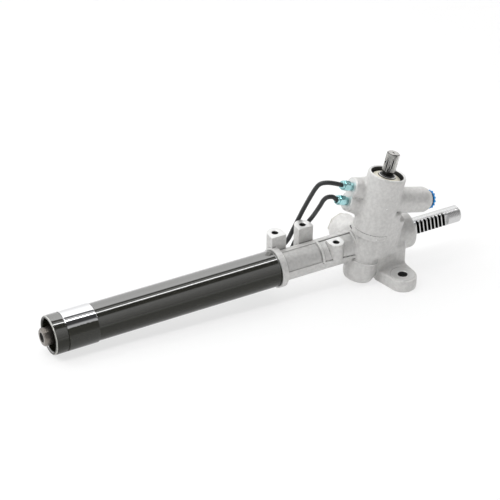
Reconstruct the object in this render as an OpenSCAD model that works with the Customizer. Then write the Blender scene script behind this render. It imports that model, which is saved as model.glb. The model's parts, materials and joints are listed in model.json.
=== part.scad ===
// Hydraulic rack and pinion steering gear.
// The origin is the centre of the clamp seat on the rack axis. +X runs along the rack to the pinion end,
// +Y points away from the front mounting foot and +Z is up.

/* [Cylinder tube] */
// Outer radius of the cylinder tube
tube_r = 24; // [23:0.25:25]
// Wall of the cylinder tube
tube_wall = 3; // [2:0.25:3.5]
// Length of the tube from its open end to the housing
tube_len = 313; // [290:1:340]
// Distance from the open end to the middle of the clamp seat
seat_from_end = 37.5; // [34:0.5:42]
// Length of the bare clamp seat
seat_len = 40; // [34:1:44]
// Height of the clamp seat and the end collar over the tube
seat_h = 1.2; // [0.8:0.1:2]
// Width of the groove between the end collar and the clamp seat
seat_groove = 1.6; // [1:0.1:2.5]
// Length of the bush that guides the rack in the open end
bush_len = 28; // [22:1:32]
// Distance from the open end to the bush
bush_from_end = 21.5; // [18:0.5:26]

/* [Rack] */
// Radius of the rack bar
rack_r = 11.5; // [11:0.1:12]
// Length of the rack bar
rack_len = 608; // [590:1:620]
// How far the rack stands out of the open end at rest
rack_out = 9; // [2:0.5:20]
// Radius of the threaded hole in each end of the rack
rack_hole_r = 6.25; // [5:0.25:7]
// Depth of the threaded holes
rack_hole_len = 21; // [16:1:21]
// Pitch of the rack teeth along the rack
tooth_pitch = 5.84; // [5.6:0.02:6]
// Slant of the rack teeth from upright
tooth_slant = 10.6; // [8:0.2:12]
// Number of gaps cut in the rack
tooth_gaps = 31; // [30:1:32]
// Number of those gaps that lie on the tube side of the pinion
gaps_behind = 8; // [8:1:9]
// Distance from the rack axis to the tooth tips
tooth_tip = 7.95; // [7.9:0.05:8.1]
// Distance from the rack axis to the bottom of the gaps
tooth_root = 4.6; // [4.4:0.05:4.7]
// Thickness of a rack tooth at the pitch line
tooth_thick = 2.36; // [2.2:0.02:2.5]
// Length of the piston
piston_len = 16; // [12:1:20]
// Distance from the pinion to the middle of the piston at rest
piston_back = 233; // [215:1:245]

/* [Pinion] */
// Distance from the rack axis to the pinion axis
pinion_off = 15; // [14.8:0.05:15.2]
// Tilt of the pinion from upright towards the rack end
pinion_tilt = 14.9; // [13:0.1:16]
// Number of pinion teeth
pinion_teeth = 8; // [8:1:8]
// Length of the pinion teeth
pinion_face = 28; // [24:1:30]
// Play between the teeth of the pinion and the rack
backlash = 0.16; // [0.1:0.02:0.24]

/* [Valve tower] */
// Outer radius of the valve tower
tower_r = 25.2; // [24.4:0.2:27]
// Height of the tower along the pinion axis, over the rack axis
tower_h = 108.6; // [104:0.2:114]
// Radius of the valve bore
valve_r = 18.5; // [17.5:0.1:19]
// Radius of the recess in the top of the tower
recess_r = 21.6; // [20.5:0.1:22.5]
// Depth of the recess in the top of the tower
recess_h = 10; // [6:0.5:12]
// Radius of the bottom cap of the pinion bore
cap_r = 21.8; // [20:0.1:23]
// Depth of the bottom cap under the rack axis
cap_h = 43.5; // [40:0.5:44]
// Radius of the input shaft at its serrations
spline_r = 8.6; // [8:0.1:9]
// Number of serrations on the input shaft
spline_teeth = 36; // [24:1:40]
// Height of the top of the input shaft over the rack axis
shaft_top = 138; // [132:0.5:144]
// Radius of the valve rotor on the input shaft
rotor_r = 11; // [10.5:0.1:11.5]

/* [Housing] */
// Distance from the joint of tube and housing to the pinion
neck_len = 130.5; // [126:0.5:140]
// Outer radius of the neck behind the tube
neck_r = 20.6; // [20.4:0.2:22]
// Radius of the collar that holds the tube
collar_r = 26.5; // [26:0.1:28]
// Length of the collar
collar_len = 8.5; // [8:0.5:12]
// Depth to which the tube goes into the collar
tube_in = 6; // [4:0.5:7]
// Outer radius of the housing round the rack
body_r = 26; // [25:0.2:27]
// Distance from the pinion to the open end of the housing
body_end = 74.5; // [70:0.5:80]
// Radius of the seat for the boot at the end of the housing
boot_r = 25.3; // [24:0.1:26]
// Length of that seat
boot_len = 19; // [16:1:19]
// Radius of the rack bore
bore_r = 12.6; // [12.4:0.1:13]
// Radius of the recess in the end of the housing
mouth_r = 19.5; // [18:0.5:21]
// Depth of the recess in the end of the housing
mouth_len = 24; // [16:1:26]
// Radius of the boss that holds the rack guide
guide_boss_r = 20; // [19:0.5:22]
// Distance from the rack axis to the end of the guide boss
guide_boss_y = 46; // [44:0.5:50]
// Radius of the rack guide
guide_r = 14; // [13.5:0.1:14.5]

/* [Mounting feet] */
// Distance from the pinion to the mounting holes, along the rack
foot_dx = 35.5; // [32:0.5:38]
// Distance from the rack axis to the front mounting hole
foot_front = 52.5; // [50:0.5:56]
// Distance between the front and the rear mounting hole
foot_span = 100; // [96:0.5:106]
// Outer radius of a mounting foot
foot_r = 19; // [17:0.5:21]
// Radius of a mounting hole
foot_hole_r = 6.5; // [5.5:0.25:7]
// Distance from the rack axis down to the underside of the feet
foot_z = 47.5; // [46:0.5:50]
// Thickness of the feet
foot_t = 17; // [14:0.5:20]
// Width of the column that carries the feet
column_w = 44; // [38:0.5:46]

/* [Small bosses] */
// Radius of the three bracket bosses
boss_r = 11.5; // [10.5:0.25:12]
// Radius of their threaded holes
boss_hole_r = 4.25; // [3.5:0.25:5]
// Depth of their threaded holes
boss_hole_len = 15; // [12:1:18]

/* [Oil ports and pipes] */
// Radius of a pipe
pipe_r = 3; // [2.5:0.1:3.2]
// Width across the flats of a flare nut
nut_af = 14; // [12:0.5:15]
// Length of a flare nut's hexagon
nut_len = 9; // [7:0.5:10]
// Radius of the two cylinder port bosses on the tower
port_r = 11.5; // [10.5:0.25:12]
// Tilt of these ports over level
port_tilt = 24; // [20:1:28]
// Radius of the inlet boss
inlet_r = 17; // [16:0.25:18]
// Height of the inlet boss over the rack axis, along the tower
inlet_h = 70; // [66:0.5:74]
// Distance from the tower axis to the end of the inlet boss
inlet_len = 78; // [72:0.5:82]

/* [Hidden] */
$fn = 64;

// Clearances: a running fit, a loose fit, and the small overlap that makes a cut go right through
run = 0.05;
loose = 0.3;
over = 1;

// Places along the rack
tube_x0 = -seat_from_end;
joint_x = tube_x0 + tube_len;
pinion_x = joint_x + neck_len;
tube_x1 = joint_x + tube_in;
seat_r = tube_r + seat_h;
seat_x0 = -seat_len / 2;
tube_in_r = tube_r - tube_wall;
rack_x0 = tube_x0 - rack_out;
rack_x1 = rack_x0 + rack_len;
bush_x0 = tube_x0 + bush_from_end;
bush_x1 = bush_x0 + bush_len;
piston_x = pinion_x - piston_back;
body_x1 = pinion_x + body_end;
inner_len = 19.5;
inner_x0 = tube_x1 - inner_len;
spigot_r = 17;
spigot_len = 8;
seal_r = 15.5;
seal_len = 8;
clip_w = 1.6;
clip_d = 0.8;
clip_h = 2.4;
ring_groove = 1.1;
ring_in = 2.4;
ring_gap = 6;
wire = 1.6;
seal_groove = 2.5;
o_ring_r = 1.2;
rack_chamfer = 1.4;
collar_lip = 0.6;
body_back = 14;

// Tooth geometry: the pinion is an involute gear in mesh with the slanted rack
helix = pinion_tilt + tooth_slant;
press = 20;
pitch_n = tooth_pitch * cos(tooth_slant);
pitch_t = pitch_n / cos(helix);
pitch_r = pinion_teeth * pitch_t / (2 * PI);
press_t = atan(tan(press) / cos(helix));
base_r = pitch_r * cos(press_t);
tip_gap = 0.3;
gear_tip_r = pinion_off - tooth_root - tip_gap;
gear_root_r = pinion_off - tooth_tip - tip_gap;
gear_thick = pitch_t - (tooth_thick + backlash) / cos(helix);
pitch_y = pinion_off - pitch_r;
twist_rate = tan(helix) / pitch_r * 180 / PI;

// Heights along the tower, from the rack axis
low_brg_h0 = -27;
low_brg_w = 10;
low_brg_r = 16;
low_brg_mid = 10.8;
low_ball_r = 2.9;
up_brg_h0 = 16.5;
up_brg_w = 8;
up_brg_r = 15;
up_brg_mid = 11.2;
up_ball_r = 1.9;
low_shaft_r = 6;
up_shaft_r = 7.5;
shoulder_r = 11;
shoulder_h0 = pinion_face / 2 - 1;
ball_count = 9;
race_gap = 0.1;
seal_h0 = 25.2;
seal_w = 4.6;
valve_h0 = 30;
cup_h0 = 31;
cup_h1 = 42;
cup_r = 14;
spigot_in_r = 9;
recess_h0 = tower_h - recess_h;
top_seal_w = 9.6;
top_brg_w = 9;
top_brg_h0 = recess_h0 - top_seal_w - top_brg_w;
journal_r = 9.5;
sleeve_h0 = 33;
sleeve_h1 = top_brg_h0 - 2;
sleeve_ring_count = 4;
sleeve_ring_w = 2.2;
sleeve_end = 4;
sleeve_step = (sleeve_h1 - sleeve_h0 - 2 * sleeve_end - sleeve_ring_w) / (sleeve_ring_count - 1);
sleeve_groove = 1.8;
oil_groove_w = 4;
oil_groove = 1.2;
bar_r = 3.5;
bar_h0 = 8;
bar_h1 = shaft_top - 8;
bar_grip = 14;
pin_h = bar_h1 - 5;
pin_r = 1.6;
band_h0 = 21.5;
band_h1 = 29.5;
band_r = tower_r - 1.2;
lower_r = 19;
cap_h1 = -14;
dome = [[-3.8, 0], [-1.2, 3.5], [0, 8.5]];
plug_h = 6;
plug_wall = 3;
race_share = 0.75;
nut_h = 6;
nut_key = 17;
spline_deep = 0.9;
spline_h0 = tower_h + 3;
journal_out = 4;
bar_room = 0.7;
bar_waist = 2.6;
pin_in = 1.2;
cover_t = 1.2;
cover_dish_r = 13.5;
cover_dish_h = 2.6;
snap_w = 3.2;
snap_in = 0.8;
snap_gap = 10;
pinion_end = 35;

// Rack guide and its plug
liner_t = 0.8;
guide_y0 = 3;
guide_y1 = guide_boss_y - 12;
guide_float = 0.1;
plug_y0 = guide_y1 + guide_float;
plug_y1 = guide_boss_y + 5;
pocket_r = 8;
pocket_len = 12;
plug_pocket = 3;
lock_t = 4;
key_af = 14;
key_len = 6;

// Housing details
boss_x = [12.7, 53.9, 84.7];
boss_y = [19, 19.3, -15];
boss_top = [40, 40, 23];
boss_base = [4, 4, -1];
boss_flat = [[-11, 0], [-9, 0], [0, 10]];
boss_side = 0.96;
boss_less = [0.7, 0.5, 1.5];
panel_x = [10.5, 61];
panel_h = 0.7;
panel_turn = [6, 86];
rib_h = 1.7;
ribs = [[62.5, 3], [113.5, 5]];
rib_turn = [2, 93];
top_rib = [2.4, 3];
rail_at = [64, -18, 0.6];
rail_box = [50, 6, 3];
rail_drop = 5;
port_at = [[-8.1, 86.1], [-14.7, 66.1]];
port_len = 24;
port_flare = 3;
port_hole_r = 5;
shank_len = 7;
inlet_hole_r = 7;
inlet_round = 9;
inlet_face_r = 12.5;
adapter_len = 16;
adapter_y = 32.5;
adapter_w = 7;
adapter_deep = 14;
nut_face = 2;
nut_collar_r = nut_af / 2 - 1.6;
nut_collar_len = 3;
pipe_in = 6;
foot_x = pinion_x + foot_dx;
foot_y = [-foot_front, foot_span - foot_front];
column_x0 = foot_x + foot_r + 0.5 - column_w;
column_side = [[30, -foot_z], [30, -6], [21, 14]];
beam_y = 26;
pad_in = 3.5;
pad_h = 0.6;
adapter_x = [28, 236];
adapter_turn = [0, -25];

// Routes of the two pipes, from the tower down behind the neck and along the back of the tube.
// The first numbers of each point are from the joint of tube and housing.
pipe_a = [
    [98, 0, 95.5], [89.4, 1.7, 100.5], [80.2, 5.2, 102.4], [72.9, 9.4, 100.5], [68.6, 12.7, 94.3],
    [65.8, 19.8, 79.7], [61.3, 29.8, 55.7], [57.1, 34.7, 39.3], [50.8, 37.4, 23],
    [45, 38, 11], [37, 37, 4], [27, 34.5, 1], [16, 32.8, 0]
];
pipe_b = [
    [92, 0, 78.5], [87, 1, 81.5], [80, 3, 82], [76, 6, 77], [73.5, 10, 67], [71, 22, 46], [67, 30, 30],
    [62, 36, 14], [57, 38, 1], [50, 37, -8], [40, 33.5, -12.5], [28, 30.4, -13.7], [16, 29.6, -13.8]
];

// Geometry helpers

// A ring or tube along Z
module ring(r_in, r_out, len) {
    difference() {
        cylinder(r = r_out, h = len);
        translate([0, 0, -over]) cylinder(r = r_in, h = len + 2 * over);
    }
}

// Turns a part that stands on Z so that it lies along the rack, starting at x
module on_rack(x) {
    translate([x, 0, 0]) rotate([0, 90, 0]) children();
}

// Stands a part on the tower axis, h over the rack axis
module on_tower(h = 0) {
    translate([pinion_x, -pinion_off, 0]) rotate([0, pinion_tilt, 0]) translate([0, 0, h]) children();
}

// Lays a part along Y at the pinion, starting at y
module on_guide(y) {
    translate([pinion_x, y, 0]) rotate([-90, 0, 0]) children();
}

// A cylinder with a chamfer at both ends
module bar(r, len, c) {
    rotate_extrude()
        polygon([[0, 0], [r - c, 0], [r, c], [r, len - c], [r - c, len], [0, len]]);
}

// A hexagon across its flats
module hexagon(af, len) {
    cylinder(r = af / 2 / cos(30), h = len, $fn = 6);
}

// A ball race: a ring with a groove for the balls
module race(r_in, r_out, w, mid, ball) {
    difference() {
        ring(r_in, r_out, w);
        translate([0, 0, w / 2]) rotate_extrude() translate([mid, 0]) circle(r = ball + race_gap, $fn = 32);
    }
}

module balls(mid, ball, w) {
    for (i = [0:ball_count - 1])
        rotate([0, 0, i * 360 / ball_count]) translate([mid, 0, w / 2]) sphere(r = ball, $fn = 24);
}

// Points along a smooth curve through a list of points
function spline(p, n) = [
    for (i = [0:len(p) - 2], k = [0:n - 1])
        let (a = p[max(i - 1, 0)], b = p[i], c = p[i + 1], d = p[min(i + 2, len(p) - 1)], t = k / n)
        0.5 * (2 * b + (c - a) * t + (2 * a - 5 * b + 4 * c - d) * t * t + (3 * b - a - 3 * c + d) * t * t * t),
    p[len(p) - 1]
];

function unit(v) = v / norm(v);

// A round pipe swept along points, as one closed solid
module sweep(p, r, sides) {
    n = len(p);
    dir = [for (i = [0:n - 1]) unit(p[min(i + 1, n - 1)] - p[max(i - 1, 0)])];
    rings = [
        for (i = [0:n - 1])
            let (s = unit(cross(dir[i], [0.3, -0.9, 0.25])), t = cross(dir[i], s))
            for (j = [0:sides - 1]) p[i] + r * (cos(j * 360 / sides) * s + sin(j * 360 / sides) * t)
    ];
    walls = [
        for (i = [0:n - 2], j = [0:sides - 1])
            let (a = i * sides + j, b = i * sides + (j + 1) % sides)
            each [[a, b, a + sides], [b, b + sides, a + sides]]
    ];
    first = [[for (j = [0:sides - 1]) sides - 1 - j]];
    last = [[for (j = [0:sides - 1]) (n - 1) * sides + j]];
    polyhedron(rings, concat(first, walls, last));
}

// Rack bar, with the slanted gaps cut by trapezium prisms
module tooth_gap() {
    half = (pitch_n - tooth_thick) / 2;
    slope = tan(press);
    outside = rack_r + over;
    root = half - (pitch_y - tooth_root) * slope;
    wide = half + (outside - pitch_y) * slope;
    rotate([0, -tooth_slant, 0])
        linear_extrude(height = 3 * rack_r, center = true)
            polygon([[-root, -tooth_root], [root, -tooth_root], [wide, -outside], [-wide, -outside]]);
}

module rack_bar() {
    color("silver") difference() {
        on_rack(rack_x0) bar(rack_r, rack_len, rack_chamfer);
        for (i = [0:tooth_gaps - 1])
            translate([pinion_x + (i - gaps_behind) * tooth_pitch, 0, 0]) tooth_gap();
        translate([pinion_x - (gaps_behind + 1) * tooth_pitch, -rack_r - over, -rack_r])
            cube([(tooth_gaps + 1) * tooth_pitch, rack_r + over - tooth_tip, 2 * rack_r]);
        on_rack(rack_x0 - over) cylinder(r = rack_hole_r, h = rack_hole_len + over);
        on_rack(rack_x1 - rack_hole_len) cylinder(r = rack_hole_r, h = rack_hole_len + over);
        for (s = [-1, 1])
            on_rack(piston_x + s * (piston_len + clip_w) / 2 - clip_w / 2)
                ring(rack_r - clip_d, rack_r + over, clip_w);
    }
}

module rack_piston() {
    color("gainsboro") difference() {
        on_rack(piston_x - piston_len / 2) ring(rack_r, tube_in_r - 2 * run, piston_len);
        on_rack(piston_x - seal_len / 4) ring(tube_in_r - seal_groove, tube_r, seal_len / 2);
    }
}

module piston_seal() {
    color("saddlebrown")
        on_rack(piston_x - seal_len / 4) ring(tube_in_r - seal_groove, tube_in_r - run, seal_len / 2);
}

module piston_clips() {
    color("dimgray") for (s = [-1, 1])
        on_rack(piston_x + s * (piston_len + clip_w) / 2 - clip_w / 2)
            ring(rack_r - clip_d, rack_r + clip_h, clip_w);
}

// Cylinder tube: a turned profile with the end collar, the joint end and the groove for the retaining ring
module cylinder_tube() {
    color([0.15, 0.15, 0.13]) difference() {
        on_rack(0) rotate_extrude() polygon([
            [tube_in_r, tube_x0], [seat_r - collar_lip, tube_x0], [seat_r, tube_x0 + collar_lip],
            [seat_r, seat_x0 - seat_groove], [tube_r, seat_x0 - seat_groove], [tube_r, tube_x1],
            [tube_in_r, tube_x1]
        ]);
        on_rack(bush_x0 - wire) ring(over, tube_in_r + ring_groove, wire);
    }
}

module clamp_seat() {
    color("white") on_rack(seat_x0) ring(tube_r, seat_r, seat_len);
}

module end_bush() {
    color("darkgray") difference() {
        on_rack(bush_x0) ring(rack_r + run, tube_in_r, bush_len);
        on_rack(bush_x1 - seal_len) cylinder(r = seal_r, h = seal_len + over);
    }
}

module end_rod_seal() {
    color("black") on_rack(bush_x1 - seal_len) ring(rack_r + run, seal_r, seal_len);
}

module end_retaining_ring() {
    color("gray") on_rack(bush_x0 - wire) difference() {
        ring(tube_in_r - ring_in, tube_in_r + ring_groove, wire);
        translate([0, -ring_gap / 2, -over]) cube([tube_r, ring_gap, wire + 2 * over]);
    }
}

// Bush in the joint: it carries the inner seal and centres the tube on the housing
module inner_bush() {
    color("darkgray") difference() {
        union() {
            on_rack(inner_x0) cylinder(r = tube_in_r, h = inner_len);
            on_rack(tube_x1) cylinder(r = spigot_r, h = spigot_len);
        }
        on_rack(inner_x0 - over) cylinder(r = bore_r, h = inner_len + spigot_len + 2 * over);
        on_rack(inner_x0 - over) cylinder(r = seal_r, h = seal_len + over);
        on_rack(inner_x0 + (inner_len - seal_groove) / 2)
            ring(tube_in_r - seal_groove, tube_r, seal_groove);
    }
}

module inner_rod_seal() {
    color("black") on_rack(inner_x0) ring(rack_r + run, seal_r, seal_len);
}

module joint_o_ring() {
    color("black") on_rack(inner_x0 + inner_len / 2)
        rotate_extrude() translate([tube_in_r - seal_groove / 2, 0]) circle(r = o_ring_r, $fn = 24);
}

// Port adapters: saddle blocks on the back of the tube, drilled for the pipe nuts
module adapter(x, turn) {
    rotate([turn, 0, 0]) difference() {
        union() {
            translate([x, adapter_y - adapter_deep, -adapter_w])
                cube([adapter_len, adapter_deep, 2 * adapter_w]);
            translate([0, adapter_y, 0]) on_rack(x) cylinder(r = adapter_w, h = adapter_len);
        }
        on_rack(x - over) cylinder(r = tube_r, h = adapter_len + 2 * over);
        translate([0, adapter_y, 0]) on_rack(x + adapter_len - shank_len - nut_face)
            cylinder(r = port_hole_r, h = shank_len + nut_face + over);
    }
}

module port_adapters() {
    color([0.16, 0.16, 0.14]) for (i = [0, 1]) adapter(adapter_x[i], adapter_turn[i]);
}

// Flare nut: a hexagon with a shank in the port and a collar on the pipe side, drilled for the pipe
module flare_nut() {
    difference() {
        union() {
            translate([0, 0, -shank_len]) cylinder(r = port_hole_r, h = shank_len + nut_face);
            translate([0, 0, nut_face]) hexagon(nut_af, nut_len);
            translate([0, 0, nut_len + nut_face]) cylinder(r = nut_collar_r, h = nut_collar_len);
        }
        translate([0, 0, -shank_len - over])
            cylinder(r = pipe_r, h = shank_len + nut_face + nut_len + nut_collar_len + 2 * over);
    }
}

// Moves a part to one of the two cylinder ports, with Z along the port
module on_port(i) {
    translate([pinion_x + port_at[i][0], 0, port_at[i][1]]) rotate([0, port_tilt - 90, 0]) children();
}

module valve_flare_nuts() {
    color("teal") for (i = [0, 1]) on_port(i) flare_nut();
}

module tube_flare_nuts() {
    color("teal") for (i = [0, 1])
        rotate([adapter_turn[i], 0, 0]) translate([0, adapter_y, 0])
            on_rack(adapter_x[i] + adapter_len) flare_nut();
}

// A pipe runs from inside its port nut, over its route, to inside its nut on the tube
module pipe(route, i) {
    n = [-cos(port_tilt), 0, sin(port_tilt)];
    start = [pinion_x + port_at[i][0], 0, port_at[i][1]];
    y = adapter_y * cos(adapter_turn[i]);
    z = adapter_y * sin(adapter_turn[i]);
    x = adapter_x[i] + adapter_len;
    out = nut_face + nut_len + nut_collar_len;
    mid = [for (p = route) p + [joint_x, 0, 0]];
    curve = spline(concat([start + out * n], mid, [[joint_x, y, z]]), 4);
    points = concat([start - pipe_in * n, start + out / 2 * n], curve, [[x - pipe_in, y, z]]);
    sweep(points, pipe_r - run / 2, 12);
}

module pipe_long() {
    color([0.12, 0.12, 0.11]) pipe(pipe_a, 0);
}

module pipe_short() {
    color([0.12, 0.12, 0.11]) pipe(pipe_b, 1);
}

// Plug of the inlet port, with two finger lugs
module inlet_plug() {
    stem = 9;
    cap = 2.4;
    lug_r = 3.4;
    lug_x = 3.6;
    lug_h = 2.6;
    color("deepskyblue") on_tower(inlet_h) rotate([0, 90, 0]) translate([0, 0, inlet_len]) {
        translate([0, 0, -stem]) cylinder(r = inlet_hole_r, h = stem);
        cylinder(r = inlet_face_r - 1, h = cap);
        for (s = [-1, 1]) translate([s * lug_x, 0, cap]) cylinder(r = lug_r, h = lug_h);
    }
}

// Rack guide: a yoke pressed to the back of the rack by a spring under a screwed plug
module rack_guide() {
    color("lightgray") difference() {
        on_guide(guide_y0) cylinder(r = guide_r - run, h = guide_y1 - guide_y0);
        on_rack(pinion_x - 2 * guide_r) cylinder(r = rack_r + run + liner_t, h = 4 * guide_r);
        on_guide(guide_y1 - pocket_len) cylinder(r = pocket_r, h = pocket_len + over);
    }
}

module guide_liner() {
    color("peru") intersection() {
        on_rack(pinion_x - guide_r) ring(rack_r + run, rack_r + run + liner_t, 2 * guide_r);
        on_guide(guide_y0) cylinder(r = guide_r - run, h = guide_y1);
    }
}

module guide_spring() {
    turns = 5;
    steps = 14;
    wire_r = 1.1;
    coil_r = 6.2;
    flat = 0.1;
    len = pocket_len + guide_float + plug_pocket - 2 * wire_r;
    color("dimgray") on_guide(guide_y1 - pocket_len + wire_r) sweep([
        for (i = [0:turns * steps])
            let (a = i * 360 / steps, f = i / (turns * steps))
            [coil_r * cos(a), coil_r * sin(a), len * min(max((f - flat) / (1 - 2 * flat), 0), 1)]
    ], wire_r, 6);
}

module guide_plug() {
    color("gray") difference() {
        on_guide(plug_y0) cylinder(r = guide_r, h = plug_y1 - plug_y0);
        on_guide(plug_y1 - key_len) hexagon(key_af, key_len + over);
        on_guide(plug_y0 - over) cylinder(r = pocket_r, h = plug_pocket + over);
    }
}

module guide_lock_nut() {
    color("gray") difference() {
        on_guide(guide_boss_y) cylinder(r = guide_boss_r - 1.5, h = lock_t, $fn = 8);
        on_guide(guide_boss_y - over) cylinder(r = guide_r, h = lock_t + 2 * over);
    }
}

// Parts on the tower axis that stay with the housing
module bottom_plug() {
    color("gray") on_tower(-cap_h) difference() {
        cylinder(r = low_brg_r, h = cap_h + low_brg_h0);
        translate([0, 0, plug_h]) cylinder(r = low_brg_r - plug_wall, h = cap_h);
        translate([0, 0, -over]) hexagon(key_af, plug_h / 2 + over);
    }
}

module lower_bearing_outer() {
    color("silver") on_tower(low_brg_h0)
        race(low_brg_mid + low_ball_r * race_share, low_brg_r, low_brg_w, low_brg_mid, low_ball_r);
}

module lower_bearing_balls() {
    color("white") on_tower(low_brg_h0) balls(low_brg_mid, low_ball_r, low_brg_w);
}

module lower_bearing_inner() {
    color("silver") on_tower(low_brg_h0)
        race(low_shaft_r, low_brg_mid - low_ball_r * race_share, low_brg_w, low_brg_mid, low_ball_r);
}

module upper_bearing_outer() {
    color("silver") on_tower(up_brg_h0)
        race(up_brg_mid + up_ball_r * race_share, up_brg_r, up_brg_w, up_brg_mid, up_ball_r);
}

module upper_bearing_balls() {
    color("white") on_tower(up_brg_h0) balls(up_brg_mid, up_ball_r, up_brg_w);
}

module upper_bearing_inner() {
    color("silver") on_tower(up_brg_h0)
        race(up_shaft_r, up_brg_mid - up_ball_r * race_share, up_brg_w, up_brg_mid, up_ball_r);
}

module pinion_seal() {
    color("black") on_tower(seal_h0) ring(up_shaft_r + run, up_brg_r, seal_w);
}

module shaft_bearing() {
    color("silver") on_tower(top_brg_h0) ring(journal_r + run, valve_r, top_brg_w);
}

module shaft_seal() {
    color([0.08, 0.08, 0.08]) on_tower(top_brg_h0 + top_brg_w)
        ring(journal_r + run, valve_r, top_seal_w);
}

// Cover washer on the floor of the recess, dished round the shaft
module dust_cover() {
    color("beige") on_tower(recess_h0) difference() {
        union() {
            cylinder(r = recess_r, h = cover_t);
            cylinder(r = cover_dish_r, h = cover_dish_h);
        }
        translate([0, 0, -over]) cylinder(r = journal_r + run, h = cover_dish_h + 2 * over);
    }
}

module tower_snap_ring() {
    color("black") on_tower(recess_h0 + cover_t) difference() {
        ring(recess_r - snap_w, recess_r + snap_in, wire);
        rotate([0, 0, 35]) translate([0, -snap_gap / 2, -over]) cube([tower_r, snap_gap, wire + 2 * over]);
    }
}

// Pinion, valve and input shaft
function inv(a) = tan(a) * 180 / PI - a;
function half_angle(r) =
    gear_thick / (2 * pitch_r) * 180 / PI + inv(press_t) - (r > base_r ? inv(acos(base_r / r)) : 0);
function polar(r, a) = [r * cos(a), r * sin(a)];

module gear_outline() {
    steps = 4;
    radii = concat([gear_root_r], [for (i = [0:steps]) base_r + (gear_tip_r - base_r) * i / steps]);
    count = len(radii);
    polygon([
        for (k = [0:pinion_teeth - 1])
            let (mid = k * 360 / pinion_teeth)
            each concat(
                [for (i = [0:count - 1]) polar(radii[i], mid - half_angle(radii[i]))],
                [for (i = [0:count - 1])
                    let (r = radii[count - 1 - i]) polar(r, mid + half_angle(r))]
            )
    ]);
}

module pinion_shaft() {
    color("lightsteelblue") on_tower() difference() {
        union() {
            translate([0, 0, -pinion_face / 2]) rotate([0, 0, 90 - twist_rate * pinion_face / 2])
                linear_extrude(height = pinion_face, twist = -twist_rate * pinion_face, slices = 14)
                    gear_outline();
            translate([0, 0, -pinion_end]) cylinder(r = low_shaft_r, h = pinion_end);
            translate([0, 0, shoulder_h0]) cylinder(r = shoulder_r, h = up_brg_h0 - shoulder_h0);
            translate([0, 0, up_brg_h0]) cylinder(r = up_shaft_r, h = cup_h0 - up_brg_h0);
            translate([0, 0, cup_h0]) cylinder(r = cup_r, h = cup_h1 - cup_h0);
        }
        translate([0, 0, sleeve_h0]) cylinder(r = spigot_in_r + run, h = cup_h1);
        translate([0, 0, bar_h0]) cylinder(r = bar_r + run, h = cup_h1);
    }
}

module pinion_nut() {
    color("gray") on_tower(low_brg_h0 - nut_h) difference() {
        hexagon(nut_key, nut_h);
        translate([0, 0, -over]) cylinder(r = low_shaft_r, h = nut_h + 2 * over);
    }
}

module valve_sleeve() {
    color("gainsboro") on_tower() difference() {
        translate([0, 0, sleeve_h0]) cylinder(r = valve_r - 2 * run, h = sleeve_h1 - sleeve_h0);
        translate([0, 0, sleeve_h0 - over]) cylinder(r = rotor_r + run, h = sleeve_h1);
        translate([0, 0, sleeve_h0 - over]) cylinder(r = cup_r, h = cup_h1 - sleeve_h0 + over);
        for (i = [0:sleeve_ring_count - 1])
            translate([0, 0, sleeve_h0 + sleeve_end + i * sleeve_step])
                ring(valve_r - sleeve_groove, valve_r + over, sleeve_ring_w);
        for (i = [0:sleeve_ring_count - 2])
            translate([0, 0, sleeve_h0 + sleeve_end + sleeve_ring_w / 2 + (i + 0.5) * sleeve_step]) {
                translate([0, 0, -oil_groove_w / 2])
                    ring(valve_r - oil_groove, valve_r + over, oil_groove_w);
                for (k = [0:3]) rotate([0, 90, k * 90 + i * 45])
                    cylinder(r = oil_groove, h = valve_r + over);
            }
    }
}

module sleeve_rings() {
    color("saddlebrown") for (i = [0:sleeve_ring_count - 1])
        on_tower(sleeve_h0 + sleeve_end + i * sleeve_step)
            ring(valve_r - sleeve_groove, valve_r - run, sleeve_ring_w);
}

module spline_outline() {
    flat = 0.22;
    polygon([for (i = [0:2 * spline_teeth - 1], s = [-flat, flat])
        polar(i % 2 == 0 ? spline_r : spline_r - spline_deep, (i + s) * 180 / spline_teeth)]);
}

module input_shaft() {
    slot = 1.4;
    slot_end = 4;
    color("silver") on_tower() difference() {
        union() {
            translate([0, 0, sleeve_h0 + loose]) cylinder(r = spigot_in_r, h = cup_h1 - sleeve_h0);
            translate([0, 0, cup_h1 + loose]) cylinder(r = rotor_r, h = sleeve_h1 - cup_h1);
            translate([0, 0, sleeve_h1]) cylinder(r = journal_r, h = recess_h0 + journal_out - sleeve_h1);
            translate([0, 0, recess_h0]) cylinder(r = spline_r - spline_deep, h = shaft_top - recess_h0);
            intersection() {
                translate([0, 0, spline_h0]) linear_extrude(height = shaft_top - spline_h0) spline_outline();
                translate([0, 0, spline_h0]) bar(spline_r + loose, shaft_top - spline_h0, rack_chamfer);
            }
        }
        translate([0, 0, sleeve_h0]) cylinder(r = bar_r + bar_room, h = bar_h1 - bar_grip - sleeve_h0);
        translate([0, 0, sleeve_h0]) cylinder(r = bar_r, h = bar_h1 - sleeve_h0);
        translate([0, 0, pin_h]) rotate([0, 90, 0])
            translate([0, 0, -spline_r - over]) cylinder(r = pin_r, h = 2 * (spline_r + over));
        for (k = [0:7]) rotate([0, 0, k * 45])
            translate([rotor_r - slot, -slot, cup_h1 + slot_end])
                cube([3 * slot, 2 * slot, sleeve_h1 - cup_h1 - 2 * slot_end]);
    }
}

module torsion_bar() {
    color("slategray") on_tower() difference() {
        union() {
            translate([0, 0, bar_h0 + loose]) cylinder(r = bar_r, h = sleeve_h0 - bar_h0);
            translate([0, 0, sleeve_h0]) cylinder(r = bar_waist, h = bar_h1 - bar_grip - sleeve_h0);
            translate([0, 0, bar_h1 - bar_grip]) cylinder(r = bar_r, h = bar_grip);
        }
        translate([0, 0, pin_h]) rotate([0, 90, 0])
            translate([0, 0, -spline_r]) cylinder(r = pin_r, h = 2 * spline_r);
    }
}

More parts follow.
